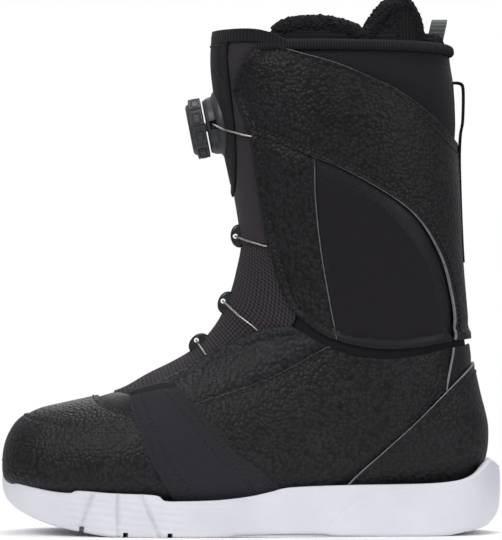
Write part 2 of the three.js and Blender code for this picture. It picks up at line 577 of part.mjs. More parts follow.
// A solid turned about the dial's axis; its profile is radius, height above the tongue.
const turned = (profile, segments = 24) => {
  const points = profile.map(([r, h]) => new THREE.Vector2(r, h));
  return manifoldOf(onDialAxis(new THREE.LatheGeometry([...points, points[0]], segments)));
};

const onDialAxis = (geometry) => {
  const turn = new THREE.Quaternion().setFromUnitVectors(new THREE.Vector3(0, 1, 0), DIAL_OUT);
  return geometry.applyQuaternion(turn).translate(DIAL_POINT[0], 0, DIAL_POINT[1]);
};

const addDial = () => {
  const well = [[12.4, 8.2], [12.4, 1.6], [0, 1.6]]; // the round room that the spool turns in
  const foot = turned([[0, -6], [20.8, -6], [20.8, 1.6], [19.6, 2.6], [16.6, 3.4], [16.4, 8.2], ...well]);
  add("Reel_Base", foot.subtract(skin(0.1)).subtract(laceWay), SATIN);
  add("Reel_Axle", turned([[0, 2], [2.9, 2], [2.9, 9.6], [0, 9.6]], 12), STEEL);
  const groove = [[SPOOL_R, 2], [SPOOL_R, 2.8], [9, 3.4], [9, 4.6], [SPOOL_R, 5.2], [SPOOL_R, 6]];
  add("Reel_Spool", turned([[3.3, 2], ...groove, [3.3, 6]], 18), PLASTIC);
  add("Reel_Ratchet", turned([[3.3, 6.4], [11.4, 6.4], [11.4, 7.9], [3.3, 7.9]], 18), PLASTIC);
  const cap = [[0, 10.4], [15.2, 10.4], [15.2, 17.6], [13.6, 19.2], [0, 19.6]];
  add("Dial_Cap", turned(cap), SATIN);
  const lobes = Array.from({ length: DIAL_RIBS * 2 }, (_, k) => {
    const radius = k % 2 ? DIAL_R : DIAL_R - 0.9;
    const angle = (Math.PI * k) / DIAL_RIBS;
    return new THREE.Vector2(radius * Math.cos(angle), radius * Math.sin(angle));
  });
  const ring = new THREE.Shape(lobes);
  ring.holes.push(new THREE.Path().absarc(0, 0, 15.6, 0, 2 * Math.PI));
  const grip = new THREE.ExtrudeGeometry(ring, { depth: 7.6, curveSegments: 12, bevelEnabled: false });
  add("Dial_Grip", manifoldOf(onDialAxis(grip.rotateX(-Math.PI / 2).translate(0, 9.2, 0))), SATIN);
};

// ---------------------------------------------------------------- the liner

const addLiner = () => {
  const shell = layer(LINER_OUT, LINER_IN, LINER_POINTS).intersect(below(smooth(LINER_TOP)));
  const front = smooth(LINER_MOUTH);
  const opening = sideways(outline([[-FAR, front[0].y]], front, [[-FAR, front.at(-1).y]]));
  add("Liner_Foot", shell.intersect(below(flexFloor)), FLEECE);
  add("Liner_Flex", shell.intersect(flexZone), FLEECE);
  add("Liner_Shaft", shell.intersect(above(flexRoof)).subtract(opening), FLEECE);
  const tongue = shell.intersect(opening).subtract(ribbon(front, 2 * SEAM)).intersect(aboveHinge);
  add("Liner_Tongue", tongue.subtract(hingeGap(2)), FLEECE);
  const bedTop = [new THREE.Vector2(-160, 40), new THREE.Vector2(160, 44)];
  add("Footbed", layer(...FOOTBED, LINER_POINTS).intersect(below(bedTop)), BOARD);
};

// ---------------------------------------------------------------- pull loops

const PULL_LINE = [
  [121, 271.4], [125.4, 271.2], [127.4, 267.6], [127.4, 249], [125.6, 240], [124.9, 226], [125.6, 208],
  [126.6, 190], [127.6, 172], [128.2, 163],
];
const LINER_LOOP = [[-9, 298.2], [-9, 303], [-6.4, 307.6], [0, 309.2], [6.4, 307.6], [9, 303], [9, 298.2]]; // y, z

// A flat band bent along a side-view line, as wide across the boot as stated.
const bandAlong = (line, thickness, width, middleY = 0) =>
  ribbon(line, thickness).intersect(box([-FAR, FAR], [middleY - width / 2, middleY + width / 2], [-FAR, FAR]));

const addLoops = () => {
  add("Rear_Pull_Loop", bandAlong(smooth(PULL_LINE), 1.3, 14).subtract(skin(-FIT)), WEBBING);
  const loop = new THREE.CatmullRomCurve3(LINER_LOOP.map(([y, z]) => new THREE.Vector3(112, y, z)));
  const section = outline([[-4.6, -0.65], [4.6, -0.65], [4.6, 0.65], [-4.6, 0.65]]);
  add("Liner_Loop", manifoldOf(new THREE.ExtrudeGeometry(section, { steps: 20, extrudePath: loop })), WEBBING);
};

// ---------------------------------------------------------------- the sole

const addSole = () => {
  const ring = new THREE.CatmullRomCurve3(SOLE_PLAN.map(([x, y]) => new THREE.Vector3(x, y, 0)), true);
  const plan = new THREE.Shape(ring.getPoints(SOLE_PLAN.length));
  const block = upwards(plan, -5, 60).intersect(sideways(outline(smooth(SOLE_TOP), smooth(SOLE_BOTTOM))));
  const core = block.scale([2, 1 - GROOVE_DEPTH / 58, 2]);
  const grooves = SOLE_GROOVES.map((line) => ribbon(line.map((p) => new THREE.Vector2(...p)), GROOVE_WIDTH));
  const tread = [];
  for (let x = TREAD_REACH[0]; x < TREAD_REACH[1]; x += TREAD_PITCH) {
    const smoothHere = x > WAIST[0] && x < WAIST[1];
    if (!smoothHere) tread.push(box([x, x + TREAD_GAP], [-FAR, FAR], [-FAR, TREAD_DEPTH]));
  }
  const cut = block.subtract(joined(...grooves).subtract(core)).subtract(joined(...tread));
  add("Outsole", cut.subtract(skin(-FIT)), FOAM);
};

addPanels();
addStraps();
addStiffeners();
addKnit();
addTongue();
addGuides();
addDial();
addLiner();
addLoops();
addSole();
addMesh("Steel_Lace", laceTube(LACE_R), STEEL);

export default boot;
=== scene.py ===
# %% [markdown]
# # A snowboard boot, dressed over its working frame
# The frame that this lesson starts from holds the boot's size, its panels and its joints. Here each panel
# gets the shape and the finish that the real one has. Everything is in metres, +Z is up, the toe points
# to -X and the outer side of the boot faces -Y.

import math

import bpy
import numpy as np
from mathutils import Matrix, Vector, geometry, noise


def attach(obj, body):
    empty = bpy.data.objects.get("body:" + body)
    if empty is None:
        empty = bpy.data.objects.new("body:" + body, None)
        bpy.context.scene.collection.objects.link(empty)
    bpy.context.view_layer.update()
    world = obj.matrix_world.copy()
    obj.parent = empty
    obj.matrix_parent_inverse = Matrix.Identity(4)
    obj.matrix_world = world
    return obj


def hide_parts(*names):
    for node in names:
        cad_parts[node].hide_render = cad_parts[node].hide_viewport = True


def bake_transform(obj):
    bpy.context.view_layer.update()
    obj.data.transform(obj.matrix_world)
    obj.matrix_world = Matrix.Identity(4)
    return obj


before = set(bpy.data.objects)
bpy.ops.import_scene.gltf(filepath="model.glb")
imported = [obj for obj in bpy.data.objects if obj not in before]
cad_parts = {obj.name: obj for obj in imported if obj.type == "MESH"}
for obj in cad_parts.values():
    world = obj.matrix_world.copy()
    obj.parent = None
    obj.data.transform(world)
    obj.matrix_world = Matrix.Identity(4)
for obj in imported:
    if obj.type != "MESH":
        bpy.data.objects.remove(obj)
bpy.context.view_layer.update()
MM = 0.001

# %% [markdown]
# ## The camera and the light
# The boot is looked at straight from its outer side, from far off, so that its outline is nearly flat.
# The lamps are large and soft: dark leather shows its grain only where something wide and pale is
# mirrored in it.

# %% Camera
bpy.context.scene.view_settings.view_transform = "Standard"
VIEW_DISTANCE = 2.6
VIEW_HEIGHT = 0.324  # what the frame's height spans at the boot
VIEW_CENTRE = Vector((0.0, -0.020, 0.1585))
bpy.ops.object.select_all(action="DESELECT")
bpy.ops.object.camera_add(
    location=VIEW_CENTRE + Vector((0, -VIEW_DISTANCE, 0)), rotation=(math.radians(90), 0, 0)
)
camera = bpy.context.object
camera.data.sensor_width = 36
camera.data.lens = 36 * VIEW_DISTANCE / VIEW_HEIGHT
camera.data.clip_start = 0.05
bpy.context.scene.camera = camera
print("camera lens", round(camera.data.lens, 1), "mm")


# %% Lamps, sky and floor
def add_lamp(name, place, target, width, power):
    bpy.ops.object.light_add(type="AREA", location=place)
    lamp = bpy.context.object
    lamp.name = name
    lamp.data.shape = "DISK"
    lamp.data.size = width
    lamp.data.energy = power
    aim = Vector(target) - Vector(place)
    lamp.rotation_euler = aim.to_track_quat("-Z", "Y").to_euler()
    return lamp


def linear(hexa):
    """An sRGB hex colour as the linear RGBA that a shader wants."""
    parts = [int(hexa[i : i + 2], 16) / 255 for i in (0, 2, 4)]
    return [c / 12.92 if c <= 0.04045 else ((c + 0.055) / 1.055) ** 2.4 for c in parts] + [1.0]


add_lamp("Key", (-0.9, -1.3, 1.3), (0, 0, 0.15), 1.1, 17)
add_lamp("Fill", (1.2, -1.2, 0.7), (0, 0, 0.15), 1.2, 8)
add_lamp("Top", (0.1, 0.2, 1.5), (0, 0, 0.1), 1.2, 12)
add_lamp("Back", (0.2, 1.4, 0.9), (0, 0, 0.15), 1.4, 8)

bpy.ops.mesh.primitive_circle_add(vertices=64, radius=0.24, fill_type="NGON", location=(0, 0, 0))
floor = bpy.context.object
floor.name = "Floor"


# %% One helper for every node
def add_node(tree, kind, links=(), **settings):
    """A node with its settings, and links given as (socket of the new node, output that feeds it)."""
    node = tree.nodes.new(kind)
    for key, value in settings.items():
        if key in node.inputs:
            node.inputs[key].default_value = value
        else:
            setattr(node, key, value)
    for socket, source in links:
        tree.links.new(source, node.inputs[socket])
    return node


# %% The sky
world = bpy.context.scene.world or bpy.data.worlds.new("Sky")
bpy.context.scene.world = world
world.use_nodes = True
sky = world.node_tree
seen = add_node(sky, "ShaderNodeBackground", Color=(1, 1, 1, 1), Strength=1.0)  # the white behind the boot
lit = add_node(sky, "ShaderNodeBackground", Color=(0.95, 0.96, 1.0, 1), Strength=0.42)  # what lights it
path_kind = add_node(sky, "ShaderNodeLightPath")
both = add_node(
    sky, "ShaderNodeMixShader",
    [(0, path_kind.outputs["Is Camera Ray"]), (1, lit.outputs[0]), (2, seen.outputs[0])],
)
sky.links.new(both.outputs[0], sky.nodes["World Output"].inputs["Surface"])
print("sky: white behind, softer as a light")


# %% [markdown]
# ## Finishes
# Each finish is named for the real material. A pattern's scale is worked out from its real size in
# millimetres, on object coordinates, or on the "weave" attribute where it has to follow the cloth.


# %% How a finish starts
def start_material(name, colour, roughness, **shader_settings):
    material = bpy.data.materials.new(name)
    material.use_nodes = True
    tree = material.node_tree
    shader = tree.nodes["Principled BSDF"]
    shader.inputs["Base Color"].default_value = linear(colour)
    shader.inputs["Roughness"].default_value = roughness
    for key, value in shader_settings.items():
        shader.inputs[key].default_value = value
    return material, tree, shader


def per_mm(size):
    """The scale of a pattern whose cells are so many millimetres wide, on coordinates in metres."""
    return 1 / (size * MM)


# %% Grained leather
def make_leather(name, low, high, grain_mm, depth_mm, rough):
    """Embossed synthetic leather: rounded pebbles with a tight valley between them. Its colour has painted
    shade in the valleys and a painted highlight on the pebbles' crowns.
    """
    material, tree, shader = start_material(name, low, rough, **{"Specular IOR Level": 0.25})
    place = add_node(tree, "ShaderNodeTexCoord").outputs["Object"]
    warp = add_node(tree, "ShaderNodeTexNoise", [("Vector", place)], Scale=per_mm(grain_mm * 2), Detail=2.0)
    shift = add_node(
        tree, "ShaderNodeVectorMath", [(0, warp.outputs["Color"])],
        operation="SCALE", Scale=grain_mm * MM * 0.8,
    )
    bent = add_node(tree, "ShaderNodeVectorMath", [(0, place), (1, shift.outputs[0])], operation="ADD")
    cells = add_node(
        tree, "ShaderNodeTexVoronoi", [("Vector", bent.outputs[0])], feature="SMOOTH_F1",
        Scale=per_mm(grain_mm), Smoothness=0.35, Randomness=0.9,
    )
    fine = add_node(tree, "ShaderNodeTexNoise", [("Vector", place)], Scale=per_mm(0.5), Detail=3.0)
    height = add_node(
        tree, "ShaderNodeMapRange", [("Value", cells.outputs["Distance"])],
        **{"From Min": 0.15, "From Max": 0.75, "To Min": 1.0, "To Max": 0.0},
    )
    mixed = add_node(
        tree, "ShaderNodeMath", [(0, fine.outputs["Fac"]), (2, height.outputs[0])], operation="MULTIPLY_ADD"
    )
    mixed.inputs[1].default_value = 0.22
    bump = add_node(
        tree, "ShaderNodeBump", [("Height", mixed.outputs[0])], Strength=0.9, Distance=depth_mm * MM
    )
    wide = add_node(tree, "ShaderNodeTexNoise", [("Vector", place)], Scale=per_mm(26), Detail=4.0)
    # Painted shade and highlight: the tone follows the pebble height, darker in the valleys and lighter on
    # the crowns, times a slow random change of tone.
    tone = add_node(
        tree, "ShaderNodeMath", [(0, wide.outputs["Fac"]), (1, height.outputs[0])], operation="MULTIPLY"
    )
    ramp = add_node(tree, "ShaderNodeValToRGB", [("Fac", tone.outputs[0])])
    ramp.color_ramp.elements[0].color = linear(low)
    ramp.color_ramp.elements[1].color = linear(high)
    ramp.color_ramp.elements[1].position = 0.7
    sheen = add_node(
        tree, "ShaderNodeMapRange", [("Value", wide.outputs["Fac"])],
        **{"From Min": 0.3, "From Max": 0.7, "To Min": rough - 0.06, "To Max": rough + 0.08},
    )
    tree.links.new(ramp.outputs["Color"], shader.inputs["Base Color"])
    tree.links.new(sheen.outputs[0], shader.inputs["Roughness"])
    tree.links.new(bump.outputs["Normal"], shader.inputs["Normal"])
    return material


# %% Woven, knitted and ribbed cloth
def make_cloth(name, low, high, across_mm, along_mm, depth_mm, rough=0.92, fuzz=0.25):
    """Cloth whose yarns cross: two waves on the weave attribute, one along and one across the piece. Its
    colour has painted shade in the hollows between the yarns.
    """
    material, tree, shader = start_material(
        name, low, rough, **{"Sheen Weight": fuzz, "Sheen Roughness": 0.5, "Specular IOR Level": 0.2}
    )
    weave = add_node(tree, "ShaderNodeAttribute", attribute_name="weave").outputs["Vector"]
    parts = add_node(tree, "ShaderNodeSeparateXYZ", [("Vector", weave)])
    waves = []
    for axis, pitch in (("X", across_mm), ("Y", along_mm)):
        turn = add_node(tree, "ShaderNodeMath", [(0, parts.outputs[axis])], operation="MULTIPLY")
        turn.inputs[1].default_value = 2 * math.pi / (pitch * MM)
        waves.append(add_node(tree, "ShaderNodeMath", [(0, turn.outputs[0])], operation="SINE"))
    yarn = add_node(
        tree, "ShaderNodeMath", [(0, waves[0].outputs[0]), (1, waves[1].outputs[0])], operation="ADD"
    )
    place = add_node(tree, "ShaderNodeTexCoord").outputs["Object"]
    fibre = add_node(tree, "ShaderNodeTexNoise", [("Vector", place)], Scale=per_mm(0.9), Detail=4.0)
    rough_yarn = add_node(
        tree, "ShaderNodeMath", [(0, fibre.outputs["Fac"]), (2, yarn.outputs[0])], operation="MULTIPLY_ADD"
    )
    rough_yarn.inputs[1].default_value = 1.2
    bump = add_node(
        tree, "ShaderNodeBump", [("Height", rough_yarn.outputs[0])], Strength=0.8, Distance=depth_mm * MM
    )
    # Painted shade: the colour follows the yarns' height, darker in the hollows between yarns and lighter on
    # their crowns, with the fibre noise as a random change of tone.
    tone = add_node(
        tree, "ShaderNodeMapRange", [("Value", rough_yarn.outputs[0])],
        **{"From Min": -1.2, "From Max": 2.4, "To Min": 0.0, "To Max": 1.0},
    )
    ramp = add_node(tree, "ShaderNodeValToRGB", [("Fac", tone.outputs[0])])
    ramp.color_ramp.elements[0].color = linear(low)
    ramp.color_ramp.elements[1].color = linear(high)
    tree.links.new(ramp.outputs["Color"], shader.inputs["Base Color"])
    tree.links.new(bump.outputs["Normal"], shader.inputs["Normal"])
    return material


# %% Smooth solids: foam rubber, nylon, steel, board
def make_solid(name, low, high, rough, blotch_mm, grit_mm, depth_mm, **shader_settings):
    """A moulded or drawn surface: a slow change of tone, and a fine grit that breaks the shine."""
    material, tree, shader = start_material(name, low, rough, **shader_settings)
    place = add_node(tree, "ShaderNodeTexCoord").outputs["Object"]
    slow = add_node(tree, "ShaderNodeTexNoise", [("Vector", place)], Scale=per_mm(blotch_mm), Detail=5.0)
    ramp = add_node(tree, "ShaderNodeValToRGB", [("Fac", slow.outputs["Fac"])])
    ramp.color_ramp.elements[0].color = linear(low)
    ramp.color_ramp.elements[0].position = 0.3
    ramp.color_ramp.elements[1].color = linear(high)
    ramp.color_ramp.elements[1].position = 0.7
    grit = add_node(tree, "ShaderNodeTexNoise", [("Vector", place)], Scale=per_mm(grit_mm), Detail=3.0)
    bump = add_node(
        tree, "ShaderNodeBump", [("Height", grit.outputs["Fac"])], Strength=0.5, Distance=depth_mm * MM
    )
    gloss = add_node(
        tree, "ShaderNodeMapRange", [("Value", grit.outputs["Fac"])],
        **{"From Min": 0.3, "From Max": 0.7, "To Min": max(rough - 0.05, 0.03), "To Max": rough + 0.06},
    )
    tree.links.new(ramp.outputs["Color"], shader.inputs["Base Color"])
    tree.links.new(gloss.outputs[0], shader.inputs["Roughness"])
    tree.links.new(bump.outputs["Normal"], shader.inputs["Normal"])
    return material


# %% The boot's finishes
pebbled = make_leather("Pebbled leather", "080809", "242427", 2.3, 0.42, 0.46)
coarse = make_leather("Coarse pebbled leather", "0b0b0c", "2a2a2f", 2.8, 0.52, 0.46)
smooth_leather = make_leather("Smooth coated leather", "111113", "202023", 1.1, 0.07, 0.48)
softshell = make_cloth("Softshell fabric", "141416", "1c1c1f", 0.7, 0.7, 0.02, 0.75, 0.04)
neoprene = make_cloth("Stretch fabric", "151317", "221f24", 0.9, 0.9, 0.05, 0.85, 0.04)
canvas = make_cloth("Backed canvas", "1c1c20", "2e2e34", 0.9, 0.9, 0.06, 0.8, 0.04)
tongue_cloth = make_cloth("Tongue fabric", "252126", "3c363b", 0.8, 0.8, 0.05, 0.85, 0.08)
mesh_knit = make_cloth("Ribbed mesh knit", "1a171a", "423c41", 1.3, 2.2, 0.22, 0.9, 0.06)
spacer_knit = make_cloth("Spacer mesh", "131314", "252528", 1.3, 1.3, 0.14, 0.9, 0.04)
rib_tape = make_cloth("Ribbed tape", "101011", "28282b", 1.7, 30.0, 0.3, 0.9, 0.05)
webbing = make_cloth("Woven webbing", "0c0c0d", "1c1c1e", 1.4, 2.0, 0.18, 0.85, 0.04)
grey_webbing = make_cloth("Grey webbing", "3e3f40", "646666", 1.2, 2.4, 0.15, 0.7, 0.1)
# Curly pile is made of small rounded cells too, so it uses the grain's pattern, with the same painted shade
# between the cells and painted highlight on them.
fleece = make_leather("Curly pile fleece", "0d0d0f", "2b2b2f", 1.6, 0.8, 0.95)
cut_edge = make_solid("Cut leather edge", "6c6c72", "8e8e94", 0.8, 4, 0.6, 0.05)
thread = make_solid("Bonded thread", "0b0b0c", "1a1a1c", 0.55, 2, 0.4, 0.05)
foam_rubber = make_solid("Moulded foam rubber", "cfcfd6", "dcdce2", 0.62, 40, 0.8, 0.03)
nylon = make_solid("Satin nylon", "292a2e", "37383e", 0.42, 12, 0.5, 0.02)
black_nylon = make_solid("Polished nylon", "17181b", "26272b", 0.2, 8, 0.6, 0.01)
steel = make_solid("Coated steel wire", "9b968c", "cfcbc2", 0.34, 3, 0.5, 0.04, Metallic=0.85)
board = make_solid("Pressed fibre board", "5b5853", "736f69", 0.9, 6, 0.7, 0.08)
floor_paint = make_solid("Paper backdrop", "fbfbfb", "fdfdfd", 0.9, 300, 5, 0.0)
floor.data.materials.append(floor_paint)
print("finishes:", len(bpy.data.materials))

# %% [markdown]
# ## The shape that the upper is sewn to
# A boot's upper is pulled over a last, so all its panels lie on one smooth shape. The frame's shape is a
# row of fan-like sections from the toe tip to the top of the shaft. The same sections are read here between
# their rows, so a panel can be as fine as it needs and still lie where the frame has it. A point of the
# skin is a place along the boot, `u`, and an angle round it: 0 is the front line and pi the back line.

# %% The sections, in millimetres
SECTIONS = np.array([
    [-149.2, 43, -149.2, 43, 5, 0, 0.6, 2.1, 3],
    [-148.3, 51.5, -148.6, 34, 5, 14, 0.6, 2.1, 3],
    [-145.3, 60, -145.5, 27.5, 5, 25, 0.6, 2.1, 3],
    [-139.5, 68.2, -138, 23.5, 4.8, 33.5, 0.6, 2.1, 3.2],
    [-129, 74.3, -126, 20.5, 4.2, 41, 0.61, 2.1, 3.4],
    [-113, 78.4, -109, 18.5, 3.4, 47.5, 0.62, 2.1, 3.6],
    [-95, 82.6, -86, 17, 2.2, 52.5, 0.63, 2.05, 3.6],
    [-78, 87.4, -60, 15.5, 0.6, 55, 0.63, 2, 3.6],
    [-62, 95.8, -32, 15, -1, 54.5, 0.63, 2, 3.6],
    [-48, 102.6, -3, 15.5, -2, 51.5, 0.63, 2, 3.6],
    [-35, 110.5, 28, 17.5, -2, 48, 0.62, 2, 3.4],
    [-24.5, 121, 60, 19.5, -1.5, 45.5, 0.6, 2, 3.2],
    [-17, 132.5, 92, 21.5, -0.8, 44, 0.58, 2.05, 3],
    [-12, 145, 120, 26, -0.3, 43.5, 0.56, 2.05, 2.8],
    [-8.6, 157.5, 137.5, 40, 0, 43.5, 0.53, 2.1, 2.5],
    [-6.5, 171, 141.5, 62, 0, 44, 0.51, 2.1, 2.4],
    [-7.2, 186, 136.5, 86, 0, 45, 0.5, 2.15, 2.3],
    [-9.4, 202, 131.8, 110, 0, 47, 0.5, 2.15, 2.3],
    [-12.4, 218, 128.6, 138, 0, 49.5, 0.5, 2.2, 2.3],
    [-15.8, 234, 126.2, 166, 0, 52, 0.5, 2.2, 2.3],
    [-18.8, 250, 125, 194, 0, 54.5, 0.5, 2.2, 2.3],
    [-21, 266, 124, 222, 0, 56.5, 0.5, 2.2, 2.3],
    [-22.6, 281, 122.6, 254, 0, 57.5, 0.5, 2.2, 2.3],
    [-22.4, 294, 121, 288, 0, 57.5, 0.5, 2.2, 2.3],
    [-21, 309, 118, 322, 0, 57, 0.5, 2.2, 2.3],
], float)
TOE = SECTIONS[5]  # the section where the toe's dome ends
TOE_LENGTH = math.hypot(TOE[0] - TOE[2], TOE[1] - TOE[3])


def through(table, at):
    """A table's rows followed smoothly, at places counted in rows."""
    table = np.asarray(table, float)
    at = np.atleast_1d(np.asarray(at, float))
    last = len(table) - 1
    row = np.clip(np.floor(at), 0, last - 1).astype(int)
    s = (at - row)[:, None]
    a, b, c, d = (table[np.clip(row + k, 0, last)] for k in (-1, 0, 1, 2))
    return b + 0.5 * s * (c - a + s * (2 * a - 5 * b + 4 * c - d + s * (3 * (b - c) + d - a)))


def section_at(u, inset):
    """Front point, direction to the back, length, half width and the rest, taken in by an inset."""
    rows = through(SECTIONS, u)
    along = rows[:, 2:4] - rows[:, 0:2]
    length = np.linalg.norm(along, axis=1)
    along = along / np.maximum(length, 1e-9)[:, None]
    taken = inset * np.minimum(1, length / TOE_LENGTH)
    front = rows[:, 0:2] + along * taken[:, None]
    front[:, 0] += inset * np.clip((TOE[0] - rows[:, 0]) / (TOE[0] - SECTIONS[0, 0]), 0, 1)
    half = rows[:, 5] - inset * np.minimum(1, rows[:, 5] / TOE[5])
    return front, along, length - 2 * taken, half, rows


def skin_at(u, angle, inset=0.0):
    """Points of the skin, in millimetres."""
    u = np.atleast_1d(np.asarray(u, float))
    angle = np.broadcast_to(np.asarray(angle, float), u.shape)
    front, along, length, half, rows = section_at(u, np.broadcast_to(inset, u.shape))
    cosine, sine = np.cos(angle), np.sin(angle)
    back = cosine < 0
    reach = length * np.where(back, 1 - rows[:, 6], rows[:, 6])
    power = np.where(back, rows[:, 8], rows[:, 7])
    across_it = np.abs(sine) / np.maximum(half, 1e-6)
    sides = (np.abs(cosine) / np.maximum(reach, 1e-6)) ** power + across_it**power
    radius = sides ** (-1 / power)
    down = length * rows[:, 6] - radius * cosine
    spot = front + along * down[:, None]
    return np.column_stack([spot[:, 0], rows[:, 4] + radius * sine, spot[:, 1]])


def outward_at(u, angle, inset=0.0):
    """The unit directions that point straight out of the skin."""
    u = np.maximum(np.atleast_1d(np.asarray(u, float)), 0.06)
    angle = np.broadcast_to(np.asarray(angle, float), u.shape)
    along = skin_at(u + 0.03, angle, inset) - skin_at(u - 0.03, angle, inset)
    round_it = skin_at(u, angle + 0.02, inset) - skin_at(u, angle - 0.02, inset)
    out = np.cross(round_it, along)
    out /= np.maximum(np.linalg.norm(out, axis=1), 1e-9)[:, None]
    front, direction, length, half, rows = section_at(u, np.broadcast_to(inset, u.shape))
    middle = front + direction * (length * rows[:, 6])[:, None]
    from_middle = skin_at(u, angle, inset) - np.column_stack([middle[:, 0], rows[:, 4], middle[:, 1]])
    return out * np.where((out * from_middle).sum(axis=1) < 0, -1, 1)[:, None]


def place_on_skin(points, side):
    """Where side-view points (x, z) lie on the skin: their u and angle, on side -1 (outer) or 1 (inner)."""
    points = np.asarray(points, float)
    low = np.full(len(points), 0.01)
    high = np.full(len(points), len(SECTIONS) - 1.0)
    for _ in range(30):
        u = (low + high) / 2
        front, along, length, half, rows = section_at(u, 0.0)
        away = points - front
        beyond = along[:, 0] * away[:, 1] - along[:, 1] * away[:, 0] > 0
        low, high = np.where(beyond, u, low), np.where(beyond, high, u)
    down = (along * away).sum(axis=1) - length * rows[:, 6]
    reach = length * np.where(down > 0, 1 - rows[:, 6], rows[:, 6])
    power = np.where(down > 0, rows[:, 8], rows[:, 7])
    out = half * (1 - np.minimum(1, np.abs(down) / reach) ** power) ** (1 / power)
    return u, side * np.arctan2(out, -down)


print("skin: toe tip at", skin_at([0.0], 0.0).round(1).tolist(), "mm")

# %% [markdown]
# ## The seams
# The seams are drawn as they are seen from the side, x and z in millimetres. Both sides of the boot are cut
# alike, so one set of lines serves both. `line` makes a smooth run of evenly spaced points from one, and
# `part_of` takes the stretch between two places on it.

# %% Seam lines
EYESTAY_CUFF = [
    [24, 297], [7, 293], [-1.9, 285], [-8.1, 274], [-9.4, 265], [-2.4, 244.8], [0.2, 233], [3, 213],
    [5.9, 194.6], [9, 176.4], [12.6, 164.4], [17.4, 148.8], [24, 134.4],
]
EYESTAY_LOWER = [
    [24, 125], [11.8, 124.2], [2.6, 122], [-9.3, 116.5], [-25.8, 108.4], [-36, 101.6], [-50.4, 94],
    [-62, 89.4], [-71, 88.4], [-82, 92],
]
CUFF_HEM = [
    [24, 134.4], [33, 127], [42.4, 120.4], [55, 115.5], [70, 112.4], [84, 111.5], [102, 112.8], [121, 116],
    [150, 119],
]
ANKLE_EDGE = [
    [24, 125], [34, 119.4], [46.2, 112.6], [61, 107.4], [72, 106], [84, 105.6], [102, 108], [121, 112.4],
    [150, 115],
]
SWEEP_SEAM = [
    [-3, 243], [1.2, 241], [20.4, 233.4], [37.8, 225.6], [55.4, 218.4], [84, 202], [100.8, 187.4],
    [112.8, 167], [118.4, 148.6], [121.4, 130], [121, 112.4], [119, 100], [117, 86],
]
COLLAR_SEAM = [
    [14, 292], [27.6, 287.6], [47.4, 282], [62.4, 276.3], [75, 270.6], [86.8, 265], [105.2, 252],
    [117.6, 239.7], [136, 222],
]
FRONT_SEAM = [[37.8, 226.4], [37.8, 206], [40.1, 180], [44.3, 152.4], [51.6, 114]]
WINDOW = [
    [39.4, 213], [55, 208.6], [70.2, 202.6], [82, 194], [91.5, 184.2], [103.6, 168.2], [109.6, 153.4],
    [115, 121.6], [100, 117.4], [84, 116], [70.2, 118.2], [52.4, 121.8], [46.4, 152.6], [42, 180],
    [39.8, 206], [39.4, 213],
]
HEEL_SEAM = [[48, 12], [57.3, 30.4], [79.4, 50.6], [97.8, 67.2], [118, 87.3], [146, 114]]
QUARTER_SEAM = [[-56, 70], [-31.2, 79.2], [-0.6, 89.4], [18.6, 97.8], [47, 113.6]]
STRAP_FRONT = [[-73, 88], [-71, 75.2], [-66, 62.4], [-59, 45.4], [-51.6, 33], [-44, 20]]
STRAP_REAR = [[26, 22], [-0.6, 43.9], [-11.4, 52.3], [-31.2, 74.4], [-40.2, 84.2], [-46.6, 91]]
STRAP_TOP = [[-46.6, 91], [-55, 89.8], [-64, 87], [-73, 84.4]]
STRAP_UNDER = [[-64, 93], [-57, 74], [-44, 52], [-30, 34], [-14, 12]]
TOE_SEAM = [
    [-150, 71.8], [-135.7, 71.2], [-130.8, 69.7], [-111, 65.8], [-94.9, 63.8], [-69, 64.3], [-49, 65.6],
]
THROAT_SEAM = [[-99, 96], [-95.6, 87], [-90, 79.8], [-82.9, 76.2], [-72, 73.2], [-56, 72.4]]
UPPER_FLOOR = [
    [-153, 36], [-141, 27], [-126, 22.5], [-107, 20.5], [-60, 17.5], [0, 18.5], [30, 21], [60, 23],
    [111, 25], [135, 32], [153, 42],
]
COLLAR_EDGE = [[0, 289.4], [60, 289.2], [113, 288], [130, 284]]
TONGUE_TOP = [[-34, 300], [-20, 301], [0, 301], [12, 298.4], [22, 293]]
LINER_TOP = [
    [-40, 297], [-6, 297.6], [6, 300], [12, 303.4], [20, 306], [32, 307], [46, 306.4], [60, 303.4], [67, 300],
    [71, 298.6], [75, 303], [80, 310], [86, 316.4], [92, 319], [97, 319.6], [102, 315], [106, 304],
    [109, 297.6], [130, 296.6],
]


def evenly(points, gap):
    """A run of points set again at an even spacing."""
    steps = np.concatenate([[0], np.cumsum(np.linalg.norm(np.diff(points, axis=0), axis=1))])
    marks = np.linspace(0, steps[-1], max(int(round(steps[-1] / gap)), 2) + 1)
    return np.column_stack([np.interp(marks, steps, points[:, k]) for k in range(points.shape[1])])


def line(points, gap=1.0):
    """A smooth line through points."""
    return evenly(through(points, np.linspace(0, len(points) - 1, len(points) * 20)), gap)


def part_of(points, start, end):
    """The stretch of a seam line between its nearest points to two places, in that order."""
    run = line(points)
    first, last = (int(np.argmin(np.linalg.norm(run - np.array(spot), axis=1))) for spot in (start, end))
    return run[first : last + 1] if first <= last else run[last : first + 1][::-1]


def beside(run, distance):
    """The line that runs beside another, on its left as it goes if the distance is positive."""
    along = np.gradient(run, axis=0)
    along /= np.maximum(np.linalg.norm(along, axis=1), 1e-9)[:, None]
    return run + distance * np.column_stack([-along[:, 1], along[:, 0]])


print("seams:", round(len(line(SWEEP_SEAM))), "mm of sweep seam on each side")

